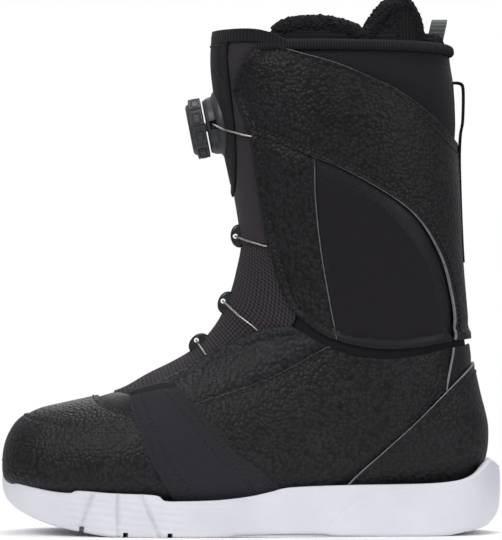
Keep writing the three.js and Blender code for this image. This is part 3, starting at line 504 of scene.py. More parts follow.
# %% [markdown]
# ## How a panel is made
# A real panel is cut flat, and its cut edges are skived, folded or left raw before it is sewn down. Here a
# panel starts as its outline on the unrolled skin, filled with an even net of triangles, and each point is
# then set on the skin at its height: an edge that goes below its neighbour dives, a row of stitches presses
# a groove, and a padded middle swells. Solidify gives the thickness, and the rim gets the paler colour of
# a raw cut. A grid shaped by hand would do for one panel, but sixteen that meet along curved seams fit
# better when they are all cut from one skin.

# %% The unrolled skin
ALONG_MM = 15.0  # about how far one step of u goes
ROUND_MM = 46.0  # about how far one radian goes


def unrolled(u, angle):
    return np.column_stack([u * ALONG_MM, angle * ROUND_MM])


def nearest(points, run):
    """Each point's distance to a run of points, and which of them is nearest."""
    best = np.full(len(points), np.inf)
    which = np.zeros(len(points), int)
    for start in range(0, len(run), 64):
        gaps = np.linalg.norm(points[:, None, :] - run[None, start : start + 64, :], axis=2)
        closest = gaps.argmin(axis=1)
        value = gaps[np.arange(len(points)), closest]
        better = value < best
        best[better] = value[better]
        which[better] = closest[better] + start
    return best, which


def inside(points, ring):
    """Which points lie inside a closed ring."""
    hit = np.zeros(len(points), bool)
    for a, b in zip(ring, np.roll(ring, -1, axis=0)):
        spans = (a[1] > points[:, 1]) != (b[1] > points[:, 1])
        if spans.any():
            x = a[0] + (points[:, 1] - a[1]) * (b[0] - a[0]) / (b[1] - a[1] + 1e-12)
            hit ^= spans & (points[:, 0] < x)
    return hit


# %% An outline on the skin
def outline_of(edges, side):
    """The ring of a panel on one side: its points on the unrolled skin and the kind of edge at each."""
    rings, kinds = [], []
    for run, kind in edges:
        u, angle = place_on_skin(run, side)
        rings.append(unrolled(u, angle))
        kinds += [kind] * len(run)
    return np.vstack(rings), np.array(kinds)


def across(edges, middle):
    """The ring of a panel that crosses the front line (middle is 0) or the back line (middle is pi)."""
    ring, kinds = outline_of(edges, -1)
    angle = np.abs(ring[:, 1]) / ROUND_MM
    free = np.abs(angle - middle) > 0.004
    first, last = np.argmax(free), len(free) - 1 - np.argmax(free[::-1])
    keep = slice(max(first - 1, 0), last + 2)
    ring, kinds, angle = ring[keep], kinds[keep], angle[keep]
    away = (angle - middle) * ROUND_MM
    one = np.column_stack([ring[:, 0], middle * ROUND_MM + away])
    other = np.column_stack([ring[:, 0], middle * ROUND_MM - away])[::-1]
    return np.vstack([one, other]), np.concatenate([kinds, kinds[::-1]])


# %% The net that fills an outline
ROWS_IN = (0.9, 1.9, 3.0, 4.4)  # how far in the rows that follow the edge lie, in millimetres


def net(ring, gap=2.6):
    """Points and triangles that fill a ring: its edge, rows beside the edge, and an even grid."""
    spaced = evenly(np.vstack([ring, ring[:1]]), 1.6)[:-1]
    along = np.roll(spaced, -1, axis=0) - np.roll(spaced, 1, axis=0)
    along /= np.maximum(np.linalg.norm(along, axis=1), 1e-9)[:, None]
    left = np.column_stack([-along[:, 1], along[:, 0]])
    area = (spaced[:, 0] * np.roll(spaced[:, 1], -1) - np.roll(spaced[:, 0], -1) * spaced[:, 1]).sum()
    inner = [spaced]
    for depth in ROWS_IN:
        row = spaced + left * depth * (1 if area > 0 else -1)
        far, _ = nearest(row, spaced)
        kept = row[(far > depth * 0.93) & inside(row, spaced)]
        for earlier in inner[1:]:
            if len(kept) and len(earlier):
                kept = kept[nearest(kept, earlier)[0] > 0.55]
        inner.append(kept)
    low, high = ring.min(axis=0), ring.max(axis=0)
    x, y = np.meshgrid(np.arange(low[0], high[0], gap), np.arange(low[1], high[1], gap * 0.87))
    x[1::2] += gap / 2
    grid = np.column_stack([x.ravel(), y.ravel()])
    grid = grid[inside(grid, spaced)]
    grid = grid[nearest(grid, spaced)[0] > ROWS_IN[-1] + gap * 0.6]
    points = np.vstack(inner + [grid])
    edge = list(range(len(spaced)))
    made = geometry.delaunay_2d_cdt([Vector(p) for p in points], [], [edge], 1, 1e-4, False)
    spots, faces = np.array([list(v) for v in made[0]]), [tuple(f) for f in made[2]]
    within = inside(np.array([spots[list(face)].mean(axis=0) for face in faces]), spaced)
    return spots, [face for face, kept in zip(faces, within) if kept]  # a hollow in the ring isn't bridged


# %% The heights of a panel
def smooth_step(t):
    t = np.clip(t, 0, 1)
    return t * t * (3 - 2 * t)


EDGE_SHAPES = {  # the height, in millimetres, that each kind of edge adds at a distance from it
    "cut": lambda d: -0.5 * np.exp(-(((d - 2.1) / 0.8) ** 2)) + 0.15 * smooth_step(1 - d / 1.0),
    "under": lambda d: -2.1 * smooth_step(1 - d / 9),
    "fold": lambda d: 0.9 * np.exp(-(((d - 1.7) / 1.4) ** 2)) - 1.1 * np.exp(-(((d - 4.1) / 1.0) ** 2)),
    "plain": lambda d: 0.0 * d,
    "sole": lambda d: -1.0 * smooth_step(1 - d / 6),
}


def heights(points, ring, kinds, base, puff, swell=14.0):
    """Each point's height over the skin: the layer's own, its edges' and the swell of its padding."""
    total = np.full(len(points), float(base))
    closest = np.full(len(points), np.inf)
    for kind in sorted(set(kinds)):
        distance, _ = nearest(points, ring[kinds == kind])
        total += EDGE_SHAPES[kind](distance)
        closest = np.minimum(closest, distance)
    return total + puff * (1 - np.exp(-((closest / swell) ** 2)))


def weave_of(points):
    """Where a point lies along the cloth, in metres, for the patterns that follow it."""
    return np.column_stack([points[:, 1], points[:, 0], np.zeros(len(points))]) * MM


# %% A mesh from points and faces
def mesh_object(name, points_mm, faces, finishes, weave=None, sheet=False):
    """A new object from points in millimetres, without doubles. Only a sheet keeps its faces' turn."""
    mesh = bpy.data.meshes.new(name)
    mesh.from_pydata((np.asarray(points_mm) * MM).tolist(), [], [tuple(int(i) for i in f) for f in faces])
    if weave is not None:
        layer = mesh.attributes.new("weave", "FLOAT_VECTOR", "POINT")
        layer.data.foreach_set("vector", np.asarray(weave, float).ravel())
    made = bpy.data.objects.new(name, mesh)
    bpy.context.collection.objects.link(made)
    for finish in finishes:
        mesh.materials.append(finish)
    take(made)
    bpy.ops.object.mode_set(mode="EDIT")
    bpy.ops.mesh.select_all(action="SELECT")
    bpy.ops.mesh.remove_doubles(threshold=0.02 * MM)
    bpy.ops.mesh.dissolve_degenerate(threshold=0.01 * MM)
    if not sheet:
        bpy.ops.mesh.normals_make_consistent(inside=False)
    bpy.ops.object.mode_set(mode="OBJECT")
    return made


def take(*objects):
    """Makes these the only selected objects, and the first of them the active one."""
    bpy.ops.object.select_all(action="DESELECT")
    for item in objects:
        item.select_set(True)
    bpy.context.view_layer.objects.active = objects[0]


def apply(made, kind, **settings):
    """Adds a modifier and applies it at once."""
    take(made)
    modifier = made.modifiers.new(kind.title(), kind)
    for key, value in settings.items():
        setattr(modifier, key, value)
    bpy.ops.object.modifier_apply(modifier=modifier.name)


def merge(main, *others):
    """Joins objects into the first."""
    take(main, *others)
    bpy.ops.object.join()
    return main


# %% Stitches
STITCH_MM = 2.1
STITCH_PITCH = 3.0
STITCH_THICK = 0.34
# Each ring of a stitch: its reach along it, its girth and its rise.
STITCH_RINGS = ((-1.0, 0.25, -0.5), (-0.55, 1.0, 0.35), (0.55, 1.0, 0.35), (1.0, 0.25, -0.5))
STITCH_FLATNESS = 1.3  # how much wider a stitch is than high
STITCH_SIDES = 5


def stitches(name, runs):
    """Rows of lockstitch. Each run is (points, outward directions), in millimetres along the seam."""
    points, faces = [], []
    turns = np.arange(STITCH_SIDES) * 2 * math.pi / STITCH_SIDES
    for path, out in runs:
        both = evenly(np.hstack([path, out]), STITCH_PITCH)
        centre, up = both[:, :3], both[:, 3:]
        along = np.gradient(centre, axis=0)
        for c, n, t in zip(centre[:-1], up[:-1], along[:-1]):
            t = t / max(np.linalg.norm(t), 1e-9)
            n = n / max(np.linalg.norm(n), 1e-9)
            b = np.cross(n, t)
            first = len(points)
            for reach, girth, rise in STITCH_RINGS:
                for turn in turns:
                    sideways = b * math.cos(turn) * girth * STITCH_THICK * STITCH_FLATNESS
                    spot = sideways + n * (math.sin(turn) * girth + rise) * STITCH_THICK
                    points.append(c + t * reach * STITCH_MM / 2 + spot)
            for ring in range(len(STITCH_RINGS) - 1):
                for k in range(STITCH_SIDES):
                    a = first + ring * STITCH_SIDES + k
                    b2 = first + ring * STITCH_SIDES + (k + 1) % STITCH_SIDES
                    faces.append((a, b2, b2 + STITCH_SIDES, a + STITCH_SIDES))
            faces.append(tuple(range(first + STITCH_SIDES - 1, first - 1, -1)))
            faces.append(tuple(range(len(points) - STITCH_SIDES, len(points))))
    return mesh_object(name, points, faces, [thread])


# %% The panel itself
SHARP_EDGE = math.radians(50)  # edges that turn more than this are rounded


def rows_of(ring, kinds, wanted, depth):
    """The runs of a ring's edge of one kind, moved in by a depth: where a row of stitches goes."""
    spots = evenly_marked(ring, kinds)
    ring, kinds = spots
    along = np.roll(ring, -2, axis=0) - np.roll(ring, 2, axis=0)
    along /= np.maximum(np.linalg.norm(along, axis=1), 1e-9)[:, None]
    left = np.column_stack([-along[:, 1], along[:, 0]])
    area = (ring[:, 0] * np.roll(ring[:, 1], -1) - np.roll(ring[:, 0], -1) * ring[:, 1]).sum()
    row = ring + left * depth * (1 if area > 0 else -1)
    good = (kinds == wanted) & (nearest(row, ring)[0] > depth * 0.9)
    runs, current = [], []
    for spot, ok in zip(row, good):
        if ok:
            current.append(spot)
        elif current:
            runs.append(np.array(current))
            current = []
    if current:
        runs.append(np.array(current))
    return [run for run in runs if len(run) > 6]


def evenly_marked(ring, kinds):
    """A ring set again at an even spacing, each point keeping the kind of the nearest old one."""
    spaced = evenly(np.vstack([ring, ring[:1]]), 1.0)[:-1]
    return spaced, kinds[nearest(spaced, ring)[1]]


def facing_out(spots, faces, flat, inset):
    """The faces of a sheet, all wound so that they look away from the boot's middle."""
    corners = np.array([face[:3] for face in faces])
    a, b, c = (spots[corners[:, k]] for k in range(3))
    middle = flat[corners].mean(axis=1)
    out = outward_at(middle[:, 0] / ALONG_MM, middle[:, 1] / ROUND_MM, inset)
    looks_in = (np.cross(b - a, c - a) * out).sum() < 0
    return [tuple(face)[::-1] for face in faces] if looks_in else faces


def show_cut_edges(made, ring, kinds, inset):
    """Only a cut edge shows the leather's paler core: the rim's other faces go back to the face's finish."""
    mesh = made.data
    index = np.array([face.material_index for face in mesh.polygons])
    centres = np.array([face.center for face in mesh.polygons]) / MM
    edge = skin_at(ring[:, 0] / ALONG_MM, ring[:, 1] / ROUND_MM, inset)
    rim = index == 1
    index[rim] = kinds[nearest(centres[rim], edge)[1]] == "cut"
    mesh.polygons.foreach_set("material_index", index)
    mesh.update()
    print(made.name, "cut faces", int(index.sum()), "of", int(rim.sum()))


def panel(
    name, outline, finishes, base=0.0, puff=0.0, thick=1.5, rows=(), inset=0.0, bevel=0.5, gap=2.6, swell=14.0
):
    """A sewn panel from its outline, with its thickness, its rolled edge and its rows of stitches."""
    ring, kinds = outline
    flat, faces = net(ring, gap)
    lift = heights(flat, ring, kinds, base, puff, swell)
    u, angle = flat[:, 0] / ALONG_MM, flat[:, 1] / ROUND_MM
    spots = skin_at(u, angle, inset) + outward_at(u, angle, inset) * lift[:, None]
    turned_out = facing_out(spots, faces, flat, inset)
    made = mesh_object(name, spots, turned_out, finishes, weave_of(flat), sheet=True)
    apply(made, "SOLIDIFY", thickness=thick * MM, offset=-1, use_rim=True, material_offset_rim=1)
    if bevel:
        apply(
            made, "BEVEL", width=bevel * MM, segments=2,
            limit_method="ANGLE", angle_limit=SHARP_EDGE, material=1,
        )
    show_cut_edges(made, ring, kinds, inset)
    smooth_shade(made)
    sewn = []
    for kind, depth in rows:
        for run in rows_of(ring, kinds, kind, depth):
            u, angle = run[:, 0] / ALONG_MM, run[:, 1] / ROUND_MM
            out = outward_at(u, angle, inset)
            rise = heights(run, ring, kinds, base, puff, swell)[:, None] + 0.1
            sewn.append((skin_at(u, angle, inset) + out * rise, out))
    if sewn:
        merge(made, stitches(name + "_stitches", sewn))
    return made


def smooth_shade(made, degrees=42):
    take(made)
    bpy.ops.object.shade_smooth_by_angle(angle=math.radians(degrees))


def settle(made, body, slot, *nodes):
    """Parents a piece to the body that it moves with, and hides the frame's nodes that it stands for. Its
    slot, the finish's name, is not used.
    """
    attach(made, body)
    dress(made, slot, *nodes)


def dress(made, slot, *nodes):
    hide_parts(*nodes)
    print(made.name, len(made.data.polygons), "faces")

# %% [markdown]
# ## The shell of the boot
# The vamp goes on first and the toe cap over it, then the eyestays, the quarters and the heel cup, and last
# the strap. The order in which they are sewn is the order of their heights. A panel that lies below its
# neighbour reaches a few millimetres under it, as the real one does.

# %% The toe
TOP = 0  # angle of the front line
BACK = math.pi  # angle of the back line


def run_of(*spots):
    """A straight-sided run of side-view points, evenly spaced."""
    return evenly(np.array(spots, float), 1.0)


def toe_cap_outline():
    """The cap holds the toe's tip, where all angles meet, so its ring is drawn unrolled."""
    seam = part_of(TOE_SEAM, (-150, 71.8), (-57, 65))
    rear = part_of(STRAP_UNDER, (-53, 66), (-24, 25))
    floor = part_of(UPPER_FLOOR, (-24, 18), (-153, 36))
    ring, kinds = outline_of([(seam, "cut"), (rear, "under"), (floor, "sole")], -1)
    angle = np.abs(ring[:, 1]) / ROUND_MM
    free = (angle > 0.004) & (angle < BACK - 0.004)
    first, last = np.argmax(free), len(free) - 1 - np.argmax(free[::-1])
    ring, kinds, angle = ring[first : last + 1], kinds[first : last + 1], angle[first : last + 1]
    start, end = ring[0, 0], ring[-1, 0]
    half = np.column_stack([ring[:, 0], angle * ROUND_MM])
    half = np.vstack([[start, 0], half, [end, BACK * ROUND_MM], [0, BACK * ROUND_MM]])
    kinds = np.concatenate([["cut"], kinds, ["sole", "plain"]])
    other = half * [1, -1]
    return np.vstack([half, other[::-1][:-1]]), np.concatenate([kinds, kinds[::-1][:-1]])


toe_cap = panel(
    "Toe_cap", toe_cap_outline(), [pebbled, cut_edge], base=0.9, puff=0.4, rows=[("cut", 2.1)],
)
settle(toe_cap, "lower", "leather", "Toe_Cap")

vamp = panel(
    "Vamp",
    across([
        (part_of(TOE_SEAM, (-150, 68), (-52, 65)) - [0, 4.5], "under"),
        (run_of((-52, 61), (-54, 72.4)), "under"),
        (part_of(THROAT_SEAM, (-56, 72.4), (-99, 96)), "cut"),
    ], TOP),
    [pebbled, cut_edge], base=0.0, puff=0.3, rows=[("cut", 2.1)],
)
settle(vamp, "lower", "leather", "Vamp")

throat = panel(
    "Throat_panel",
    across([
        (part_of(THROAT_SEAM, (-99, 96), (-56, 72.4)) + [-2, -4.5], "under"),
        (run_of((-56, 67), (-50, 86), (-54, 92)), "under"),
        (part_of(EYESTAY_LOWER, (-54, 92), (-82, 92)), "fold"),
    ], TOP),
    [smooth_leather, smooth_leather], base=-1.2, puff=0.5, rows=[("fold", 3.6)],
)
settle(throat, "lower", "leather", "Throat_Panel")


# %% The panels of each side
def lower_side(side, name):
    """The eyestay, the quarter and the strap of one side."""
    eyestay = panel(
        f"Lower_eyestay_{name}",
        outline_of([
            (part_of(EYESTAY_LOWER, (24, 125), (-68, 88.6)), "fold"),
            (run_of((-68, 88.6), (-58, 76), (-52, 66)), "under"),
            (part_of(QUARTER_SEAM, (-52, 71), (47, 113.6)) + [2, -5], "under"),
            (part_of(ANKLE_EDGE, (47, 112.4), (24, 125)), "plain"),
        ], side),
        [coarse, cut_edge], base=0.1, puff=1.1, thick=1.9, rows=[("fold", 3.9), ("cut", 2.1)], swell=7,
    )
    settle(eyestay, "lower", "leather", f"Lower_Eyestay_{name}")
    quarter = panel(
        f"Quarter_{name}",
        outline_of([
            (part_of(QUARTER_SEAM, (-40, 76.4), (46.4, 113.3)), "cut"),
            (part_of(ANKLE_EDGE, (48, 112), (118.6, 111.8)), "plain"),
            (run_of((122, 112), (121, 100), (118, 80)), "under"),
            (part_of(HEEL_SEAM, (118, 87.3), (50, 16)) + [3.2, -3.2], "under"),
            (part_of(UPPER_FLOOR, (53, 22), (-20, 18)), "sole"),
            (part_of(STRAP_UNDER, (-20, 20), (-52, 66)), "under"),
        ], side),
        [pebbled, cut_edge], base=0.9, puff=0.3, rows=[("cut", 2.1)],
    )
    settle(quarter, "lower", "leather", f"Quarter_{name}")
    strap = panel(
        f"Instep_strap_{name}",
        outline_of([
            (part_of(STRAP_FRONT, (-73, 84.4), (-46, 23)), "cut"),
            (part_of(UPPER_FLOOR, (-44, 17.6), (28, 21)), "sole"),
            (part_of(STRAP_REAR, (26, 22), (-46.6, 91)), "cut"),
            (part_of(STRAP_TOP, (-46.6, 91), (-73, 84.4)), "fold"),
        ], side),
        [canvas, canvas], base=1.9, puff=0.3, thick=1.6, swell=6,
        rows=[("cut", 1.9), ("cut", 6.4), ("fold", 3.6)],
    )
    settle(strap, "lower", "strap", f"Instep_Strap_{name}")


for side, name in ((-1, "Lateral"), (1, "Medial")):
    lower_side(side, name)

# %% The heel
heel_cup = panel(
    "Heel_cup",
    across([
        (part_of(UPPER_FLOOR, (150, 40), (52, 22)), "sole"),
        (part_of(HEEL_SEAM, (50, 18), (146, 114)), "cut"),
    ], BACK),
    [pebbled, cut_edge], base=1.7, puff=0.3, thick=1.7, rows=[("cut", 3.0)],
)
settle(heel_cup, "lower", "leather", "Heel_Cup")

heel_spine = panel(
    "Heel_spine",
    across([
        (part_of(HEEL_SEAM, (146, 114), (116, 85)) + [3, -6], "under"),
        (part_of(SWEEP_SEAM, (117, 86), (121, 112.4)), "cut"),
        (part_of(ANKLE_EDGE, (121, 112.4), (150, 115)), "plain"),
    ], BACK),
    [smooth_leather, cut_edge], base=0.7, puff=0.2, rows=[("cut", 2.1)],
)
settle(heel_spine, "lower", "leather", "Heel_Spine")

# %% [markdown]
# ## The cuff
# The cuff is the part that leans over the ankle. Its eyestays lie under the long panel that sweeps from
# the throat round the back, and between them the ankle frame carries a softer window.


# %% The panels of the cuff
def cuff_side(side, name):
    """The ankle frame, its window and the eyestay of one side of the cuff."""
    frame_panel = panel(
        f"Ankle_frame_{name}",
        outline_of([
            (part_of(FRONT_SEAM, (35, 228), (48, 116)) - [5, 0], "under"),
            (part_of(CUFF_HEM, (46, 118), (120.6, 115.9)), "fold"),
            (part_of(SWEEP_SEAM, (121.4, 118), (35, 227)) + [3, 4.5], "under"),
        ], side),
        [smooth_leather, cut_edge], base=-0.1, puff=0.3, rows=[("fold", 4.2)],
    )
    settle(frame_panel, "cuff", "leather", f"Ankle_Frame_{name}")
    window = panel(
        f"Ankle_window_{name}",
        outline_of([(line(WINDOW), "rimmed")], side),
        [neoprene, neoprene], base=0.35, puff=0.5, thick=1.0, rows=[], swell=9,
    )
    settle(window, "cuff", "collar", f"Ankle_Window_{name}")
    eyestay = panel(
        f"Cuff_eyestay_{name}",
        outline_of([
            (part_of(EYESTAY_CUFF, (-4.4, 249), (24, 134.4)), "fold"),
            (part_of(CUFF_HEM, (24, 134.4), (50.5, 116.8)), "fold"),
            (part_of(FRONT_SEAM, (50.8, 117), (37.8, 226.4)), "cut"),
            (run_of((37.8, 230), (18, 238.4), (-2, 247)), "under"),
        ], side),
        [pebbled, cut_edge], base=0.5, puff=0.7, thick=1.8, rows=[("fold", 3.9), ("cut", 2.1)], swell=8,
    )
    settle(eyestay, "cuff", "leather", f"Cuff_Eyestay_{name}")


EDGE_SHAPES["rimmed"] = lambda d: -0.9 * smooth_step(1 - d / 2.2) - 0.25 * np.exp(-(((d - 3.4) / 0.6) ** 2))
for side, name in ((-1, "Lateral"), (1, "Medial")):
    cuff_side(side, name)

collar_panel = panel(
    "Collar_panel",
    across([
        (part_of(COLLAR_SEAM, (136, 222), (14, 292)) - [0.5, 6], "under"),
        (run_of((12, 286), (10, 290.6)), "under"),
        (part_of(COLLAR_EDGE, (10, 289.4), (130, 284)), "under"),
    ], BACK),
    [softshell, softshell], base=0.2, puff=0.8, rows=[],
)
settle(collar_panel, "cuff", "collar", "Collar_Panel")

sweep_panel = panel(
    "Sweep_panel",
    across([
        (part_of(COLLAR_SEAM, (136, 222), (14, 292)), "cut"),
        (run_of((13, 292), (6, 292.2)), "under"),
        (part_of(EYESTAY_CUFF, (7, 293), (-3, 246)), "fold"),
        (part_of(SWEEP_SEAM, (-3, 243), (121.4, 118)), "cut"),
        (part_of(CUFF_HEM, (121.3, 116), (150, 119)), "fold"),
    ], BACK),
    [pebbled, cut_edge], base=1.7, puff=0.4, thick=1.9, rows=[("cut", 3.0), ("fold", 3.9)],
)
settle(sweep_panel, "cuff", "leather", "Cuff_Back")

# %% [markdown]
# ## The tongue
# The tongue is a thick pad of cloth over foam. Its lower half is ribbed mesh that bends at the ankle, its
# upper half carries the dial and folds forward when the boot is opened, and a smooth shield is sewn down
# its front. It reaches a few millimetres under the eyestays, where nobody sees it end.

# %% Where cloth bends
ANKLE_BEND = ((0.0536, 0, 0.083), (0.0704, 0, 0.141))  # on the cloth inside the boot
TONGUE_BEND = ((-0.0110, 0, 0.1475), (-0.0086, 0, 0.1646))  # on the tongue, between the guides
CREASE_BEND = ((-0.0050, 0, 0.178), (-0.0120, 0, 0.206))  # the crease that the upper tongue folds at
GUSSET_BEND = ((0.020, 0, 0.238), (-0.002, 0, 0.243))  # from the eyestay's back to the tongue's edge
HEM_BEND = ((0.062, 0, 0.104), (0.064, 0, 0.117))  # between the ankle edge and the cuff's hem
TOP_LACE_BEND = ((0.006, 0, 0.236), (-0.010, 0, 0.242))  # between the eyestay and the dial


def bending(made, bodies, places, slot, *nodes):
    """Bakes the transform of cloth that crosses a joint and hides the frame's nodes that it stands for; it is
    attached to no body and doesn't bend.
    """
    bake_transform(made)
    dress(made, slot, *nodes)


# %% The two halves
HIDDEN = 7.0  # how far the tongue reaches under the eyestays
tongue_lower = panel(
    "Tongue_lower",
    across([
        (beside(part_of(EYESTAY_LOWER, (-80, 91), (16, 124.6)), -HIDDEN), "under"),
        (beside(part_of(EYESTAY_CUFF, (22, 138), (8, 181)), -HIDDEN), "under"),
        (run_of((15, 181), (-40, 181)), "under"),
    ], TOP),
    [mesh_knit, mesh_knit], base=-0.6, puff=1.2, thick=4.6, rows=[], bevel=0,
)
bending(tongue_lower, ("lower", "cuff"), TONGUE_BEND, "knit", "Tongue_Instep", "Tongue_Flex", "Tongue_Middle")

tongue_upper = panel(
    "Tongue_upper",
    across([
        (run_of((-40, 174), (17, 174)), "plain"),
        (beside(part_of(EYESTAY_CUFF, (10, 174), (-7.5, 273)), -HIDDEN), "under"),
        (run_of((0, 276), (10, 288), (20, 292)), "under"),
        (part_of(TONGUE_TOP, (21, 293), (-34, 300)), "plain"),
    ], TOP),
    [tongue_cloth, tongue_cloth], base=-0.1, puff=0.9, thick=4.6, rows=[], bevel=0.8,
)
bending(tongue_upper, ("cuff", "tongue"), CREASE_BEND, "knit", "Tongue_Top")

# %% The shield down its front, and the tape round its top
SHIELD_EDGE = [
    [-12.6, 296], [-13.2, 290], [-13, 280], [-11, 262], [-8.6, 240], [-8, 222], [-9, 206], [-14, 196],
]
shield = panel(
    "Tongue_shield",
    across([(line(SHIELD_EDGE), "fold")], TOP),
    [softshell, softshell], base=1.5, puff=0.5, thick=1.4, rows=[("fold", 3.0)], swell=8,
)
bending(shield, ("cuff", "tongue"), CREASE_BEND, "knit")

TAPE_LINE = [[-34, 294.4], [-20, 294.6], [-8, 294.6], [8, 293.6], [20, 289]]
tape = panel(
    "Tongue_tape",
    across([
        (line(TAPE_LINE), "plain"),
        (run_of((21, 289), (22.4, 292.6)), "plain"),
        (part_of(TONGUE_TOP, (22, 293), (-34, 300)) + [0, 1.0], "plain"),
    ], TOP),
    [rib_tape, rib_tape], base=1.7, puff=0.5, thick=6.6, bevel=1.6, gap=2.0, swell=3,
)
bending(tape, ("cuff", "tongue"), CREASE_BEND, "knit", "Tongue_Binding")


# %% The knit between the tongue and the eyestays
def gusset(side, name):
    """A gusset folds out of the eyestay's back and is sewn to the tongue's edge."""
    made = panel(
        f"Tongue_gusset_{name}",
        outline_of([
            (beside(part_of(EYESTAY_CUFF, (6.5, 192), (-4, 281)), -1.5), "plain"),
            (beside(part_of(EYESTAY_CUFF, (6.5, 192), (-4, 281)), -13)[::-1], "plain"),
        ], side),
        [neoprene, neoprene], thick=0.8, inset=5.2, bevel=0,
    )
    bending(made, ("cuff", "tongue"), GUSSET_BEND, "knit", f"Tongue_Gusset_{name}")


for side, name in ((-1, "Lateral"), (1, "Medial")):
    gusset(side, name)

ankle_gusset = panel(
    "Ankle_gusset",
    across([
        (beside(part_of(CUFF_HEM, (150, 119), (24, 134.4)), -8), "plain"),
        (run_of((20, 141), (14, 131), (20, 118)), "plain"),
        (beside(part_of(ANKLE_EDGE, (24, 125), (150, 115)), -8), "plain"),
    ], BACK),
    [neoprene, neoprene], thick=1.0, inset=2.6, puff=0.6, bevel=0,
)
bending(ankle_gusset, ("lower", "cuff"), HEM_BEND, "knit", "Ankle_Gusset")

# %% [markdown]
# ## The liner
# The liner is a boot of its own, foam faced with fleece inside and with mesh outside, and it pulls out to
# dry. Only its top shows: a roll of fleece over a band of mesh, and a lobe at the back with a grey loop.

# %% The liner's shell
LINER_MOUTH = [
    [10, 330], [6, 298], [-3.6, 285], [-9.8, 274], [-11.2, 265], [-4.4, 245], [-1.8, 233], [1, 213], [4, 195],
    [0, 184], [-14, 178],
]
LINER_DEPTH = 5.9
LINER_THICK = 6.0


def liner_outline():
    """The shell wraps the whole foot, so its ring runs down the front line to the toe and back below."""
    top = part_of(LINER_TOP, (130, 296.6), (9, 301.6))
    mouth = part_of(LINER_MOUTH, (6, 299), (-14, 178))
    ring, kinds = outline_of([(top, "roll"), (mouth, "roll")], -1)
    angle = np.abs(ring[:, 1]) / ROUND_MM
    free = (angle > 0.004) & (angle < BACK - 0.004)
    first, last = np.argmax(free), len(free) - 1 - np.argmax(free[::-1])
    ring, angle, kinds = ring[first : last + 1], angle[first : last + 1], kinds[first : last + 1]
    half = np.vstack([
        [ring[0, 0], BACK * ROUND_MM],
        np.column_stack([ring[:, 0], angle * ROUND_MM]),
        [ring[-1, 0], 0],
        [3, 0],
    ])
    kinds = np.concatenate([["roll"], kinds, ["plain", "plain"]])
    turn = 2 * BACK * ROUND_MM
    other = half * [1, -1] + [0, turn]
    return np.vstack([half, other[::-1][:-1]]), np.concatenate([kinds, kinds[::-1][:-1]])


EDGE_SHAPES["roll"] = lambda d: 0.5 * np.exp(-(((d - 3) / 3) ** 2))
liner = panel(
    "Liner", liner_outline(), [fleece, fleece], thick=LINER_THICK, inset=LINER_DEPTH, bevel=1.8, gap=4.2,
)
liner.data.materials.append(spacer_knit)
liner.data.materials.append(rib_tape)
centres = np.array([f.center for f in liner.data.polygons]) / MM
facing = np.array([f.normal for f in liner.data.polygons])
u, angle = place_on_skin(centres[:, [0, 2]], -1)
angle = np.where(centres[:, 1] > 0, -angle, angle)
looks_out = (facing * outward_at(u, angle)).sum(axis=1) > 0.5
for face, centre, out in zip(liner.data.polygons, centres, looks_out):
    if out and 90 < centre[0] < 110:
        face.material_index = 3
    elif out and centre[2] < 301 - 0.05 * abs(centre[0] - 40):
        face.material_index = 2
bending(liner, ("lower", "cuff"), ANKLE_BEND, "fleece", "Liner_Foot", "Liner_Flex", "Liner_Shaft")


# %% A roll swept along a line
def swept(name, path, out, wide, high, finishes, turns, ripple=None):
    """A roll along a path: wide across the skin, high along it. ripple(distance, turn) changes its girth."""
    along = np.gradient(path, axis=0)
    along /= np.linalg.norm(along, axis=1)[:, None]
    up = np.cross(along, out)
    up /= np.linalg.norm(up, axis=1)[:, None]
    travelled = np.concatenate([[0], np.cumsum(np.linalg.norm(np.diff(path, axis=0), axis=1))])
    points, weave = [], []
    for k in range(turns):
        turn = 2 * math.pi * k / turns
        girth = ripple(travelled, turn) if ripple else 1.0
        girth = np.broadcast_to(girth, travelled.shape)[:, None]
        points.append(path + girth * (out * math.cos(turn) * wide + up * math.sin(turn) * high))
        round_it = np.full(len(path), turn * (wide + high) / 2)
        weave.append(np.column_stack([travelled, round_it, np.zeros(len(path))]))
    count = len(path)
    faces = []
    for k in range(turns):
        a, b = k * count, ((k + 1) % turns) * count
        faces += [(a + i, a + i + 1, b + i + 1, b + i) for i in range(count - 1)]
    faces.append([k * count for k in range(turns)][::-1])
    faces.append([k * count + count - 1 for k in range(turns)])
    made = mesh_object(name, np.vstack(points), faces, finishes, np.vstack(weave) * MM)
    smooth_shade(made, 60)
    return made


def skin_path(run, middle, inset, gap=0.6):
    """A side-view run carried round the boot from one side to the other, with its outward directions."""
    u, angle = place_on_skin(run, -1)
    angle = np.abs(angle)
    u, angle = np.concatenate([u, u[::-1][1:]]), np.concatenate([angle, (2 * middle - angle)[::-1][1:]])
    flat = evenly(np.column_stack([skin_at(u, angle, inset), u, angle]), gap)
    return flat[:, :3], outward_at(flat[:, 3], flat[:, 4], inset)


def pile(path_seed, depth):
    """A ripple that stands for the curls of fleece pile."""
    def ripple(travelled, turn):
        return np.array([
            1 + depth * noise.noise(Vector((t / 1.9, 4 * math.cos(turn), path_seed + 4 * math.sin(turn))))
            + 0.6 * depth * noise.noise(Vector((t / 0.9, 9 * math.cos(turn), path_seed + 9 * math.sin(turn))))
            for t in travelled
        ])
    return ripple


rim_run = part_of(LINER_TOP, (9, 301.6), (130, 296.6)) - [0, 2.4]
rim_run = rim_run[rim_run[:, 0] < 122]
path, out = skin_path(rim_run, BACK, LINER_DEPTH + 3.0, 0.8)
fleece_roll = swept("Fleece_roll", path, out, 4.8, 5.2, [fleece], turns=32, ripple=pile(0, 0.26))
settle(fleece_roll, "cuff", "fleece", "Liner_Shaft")

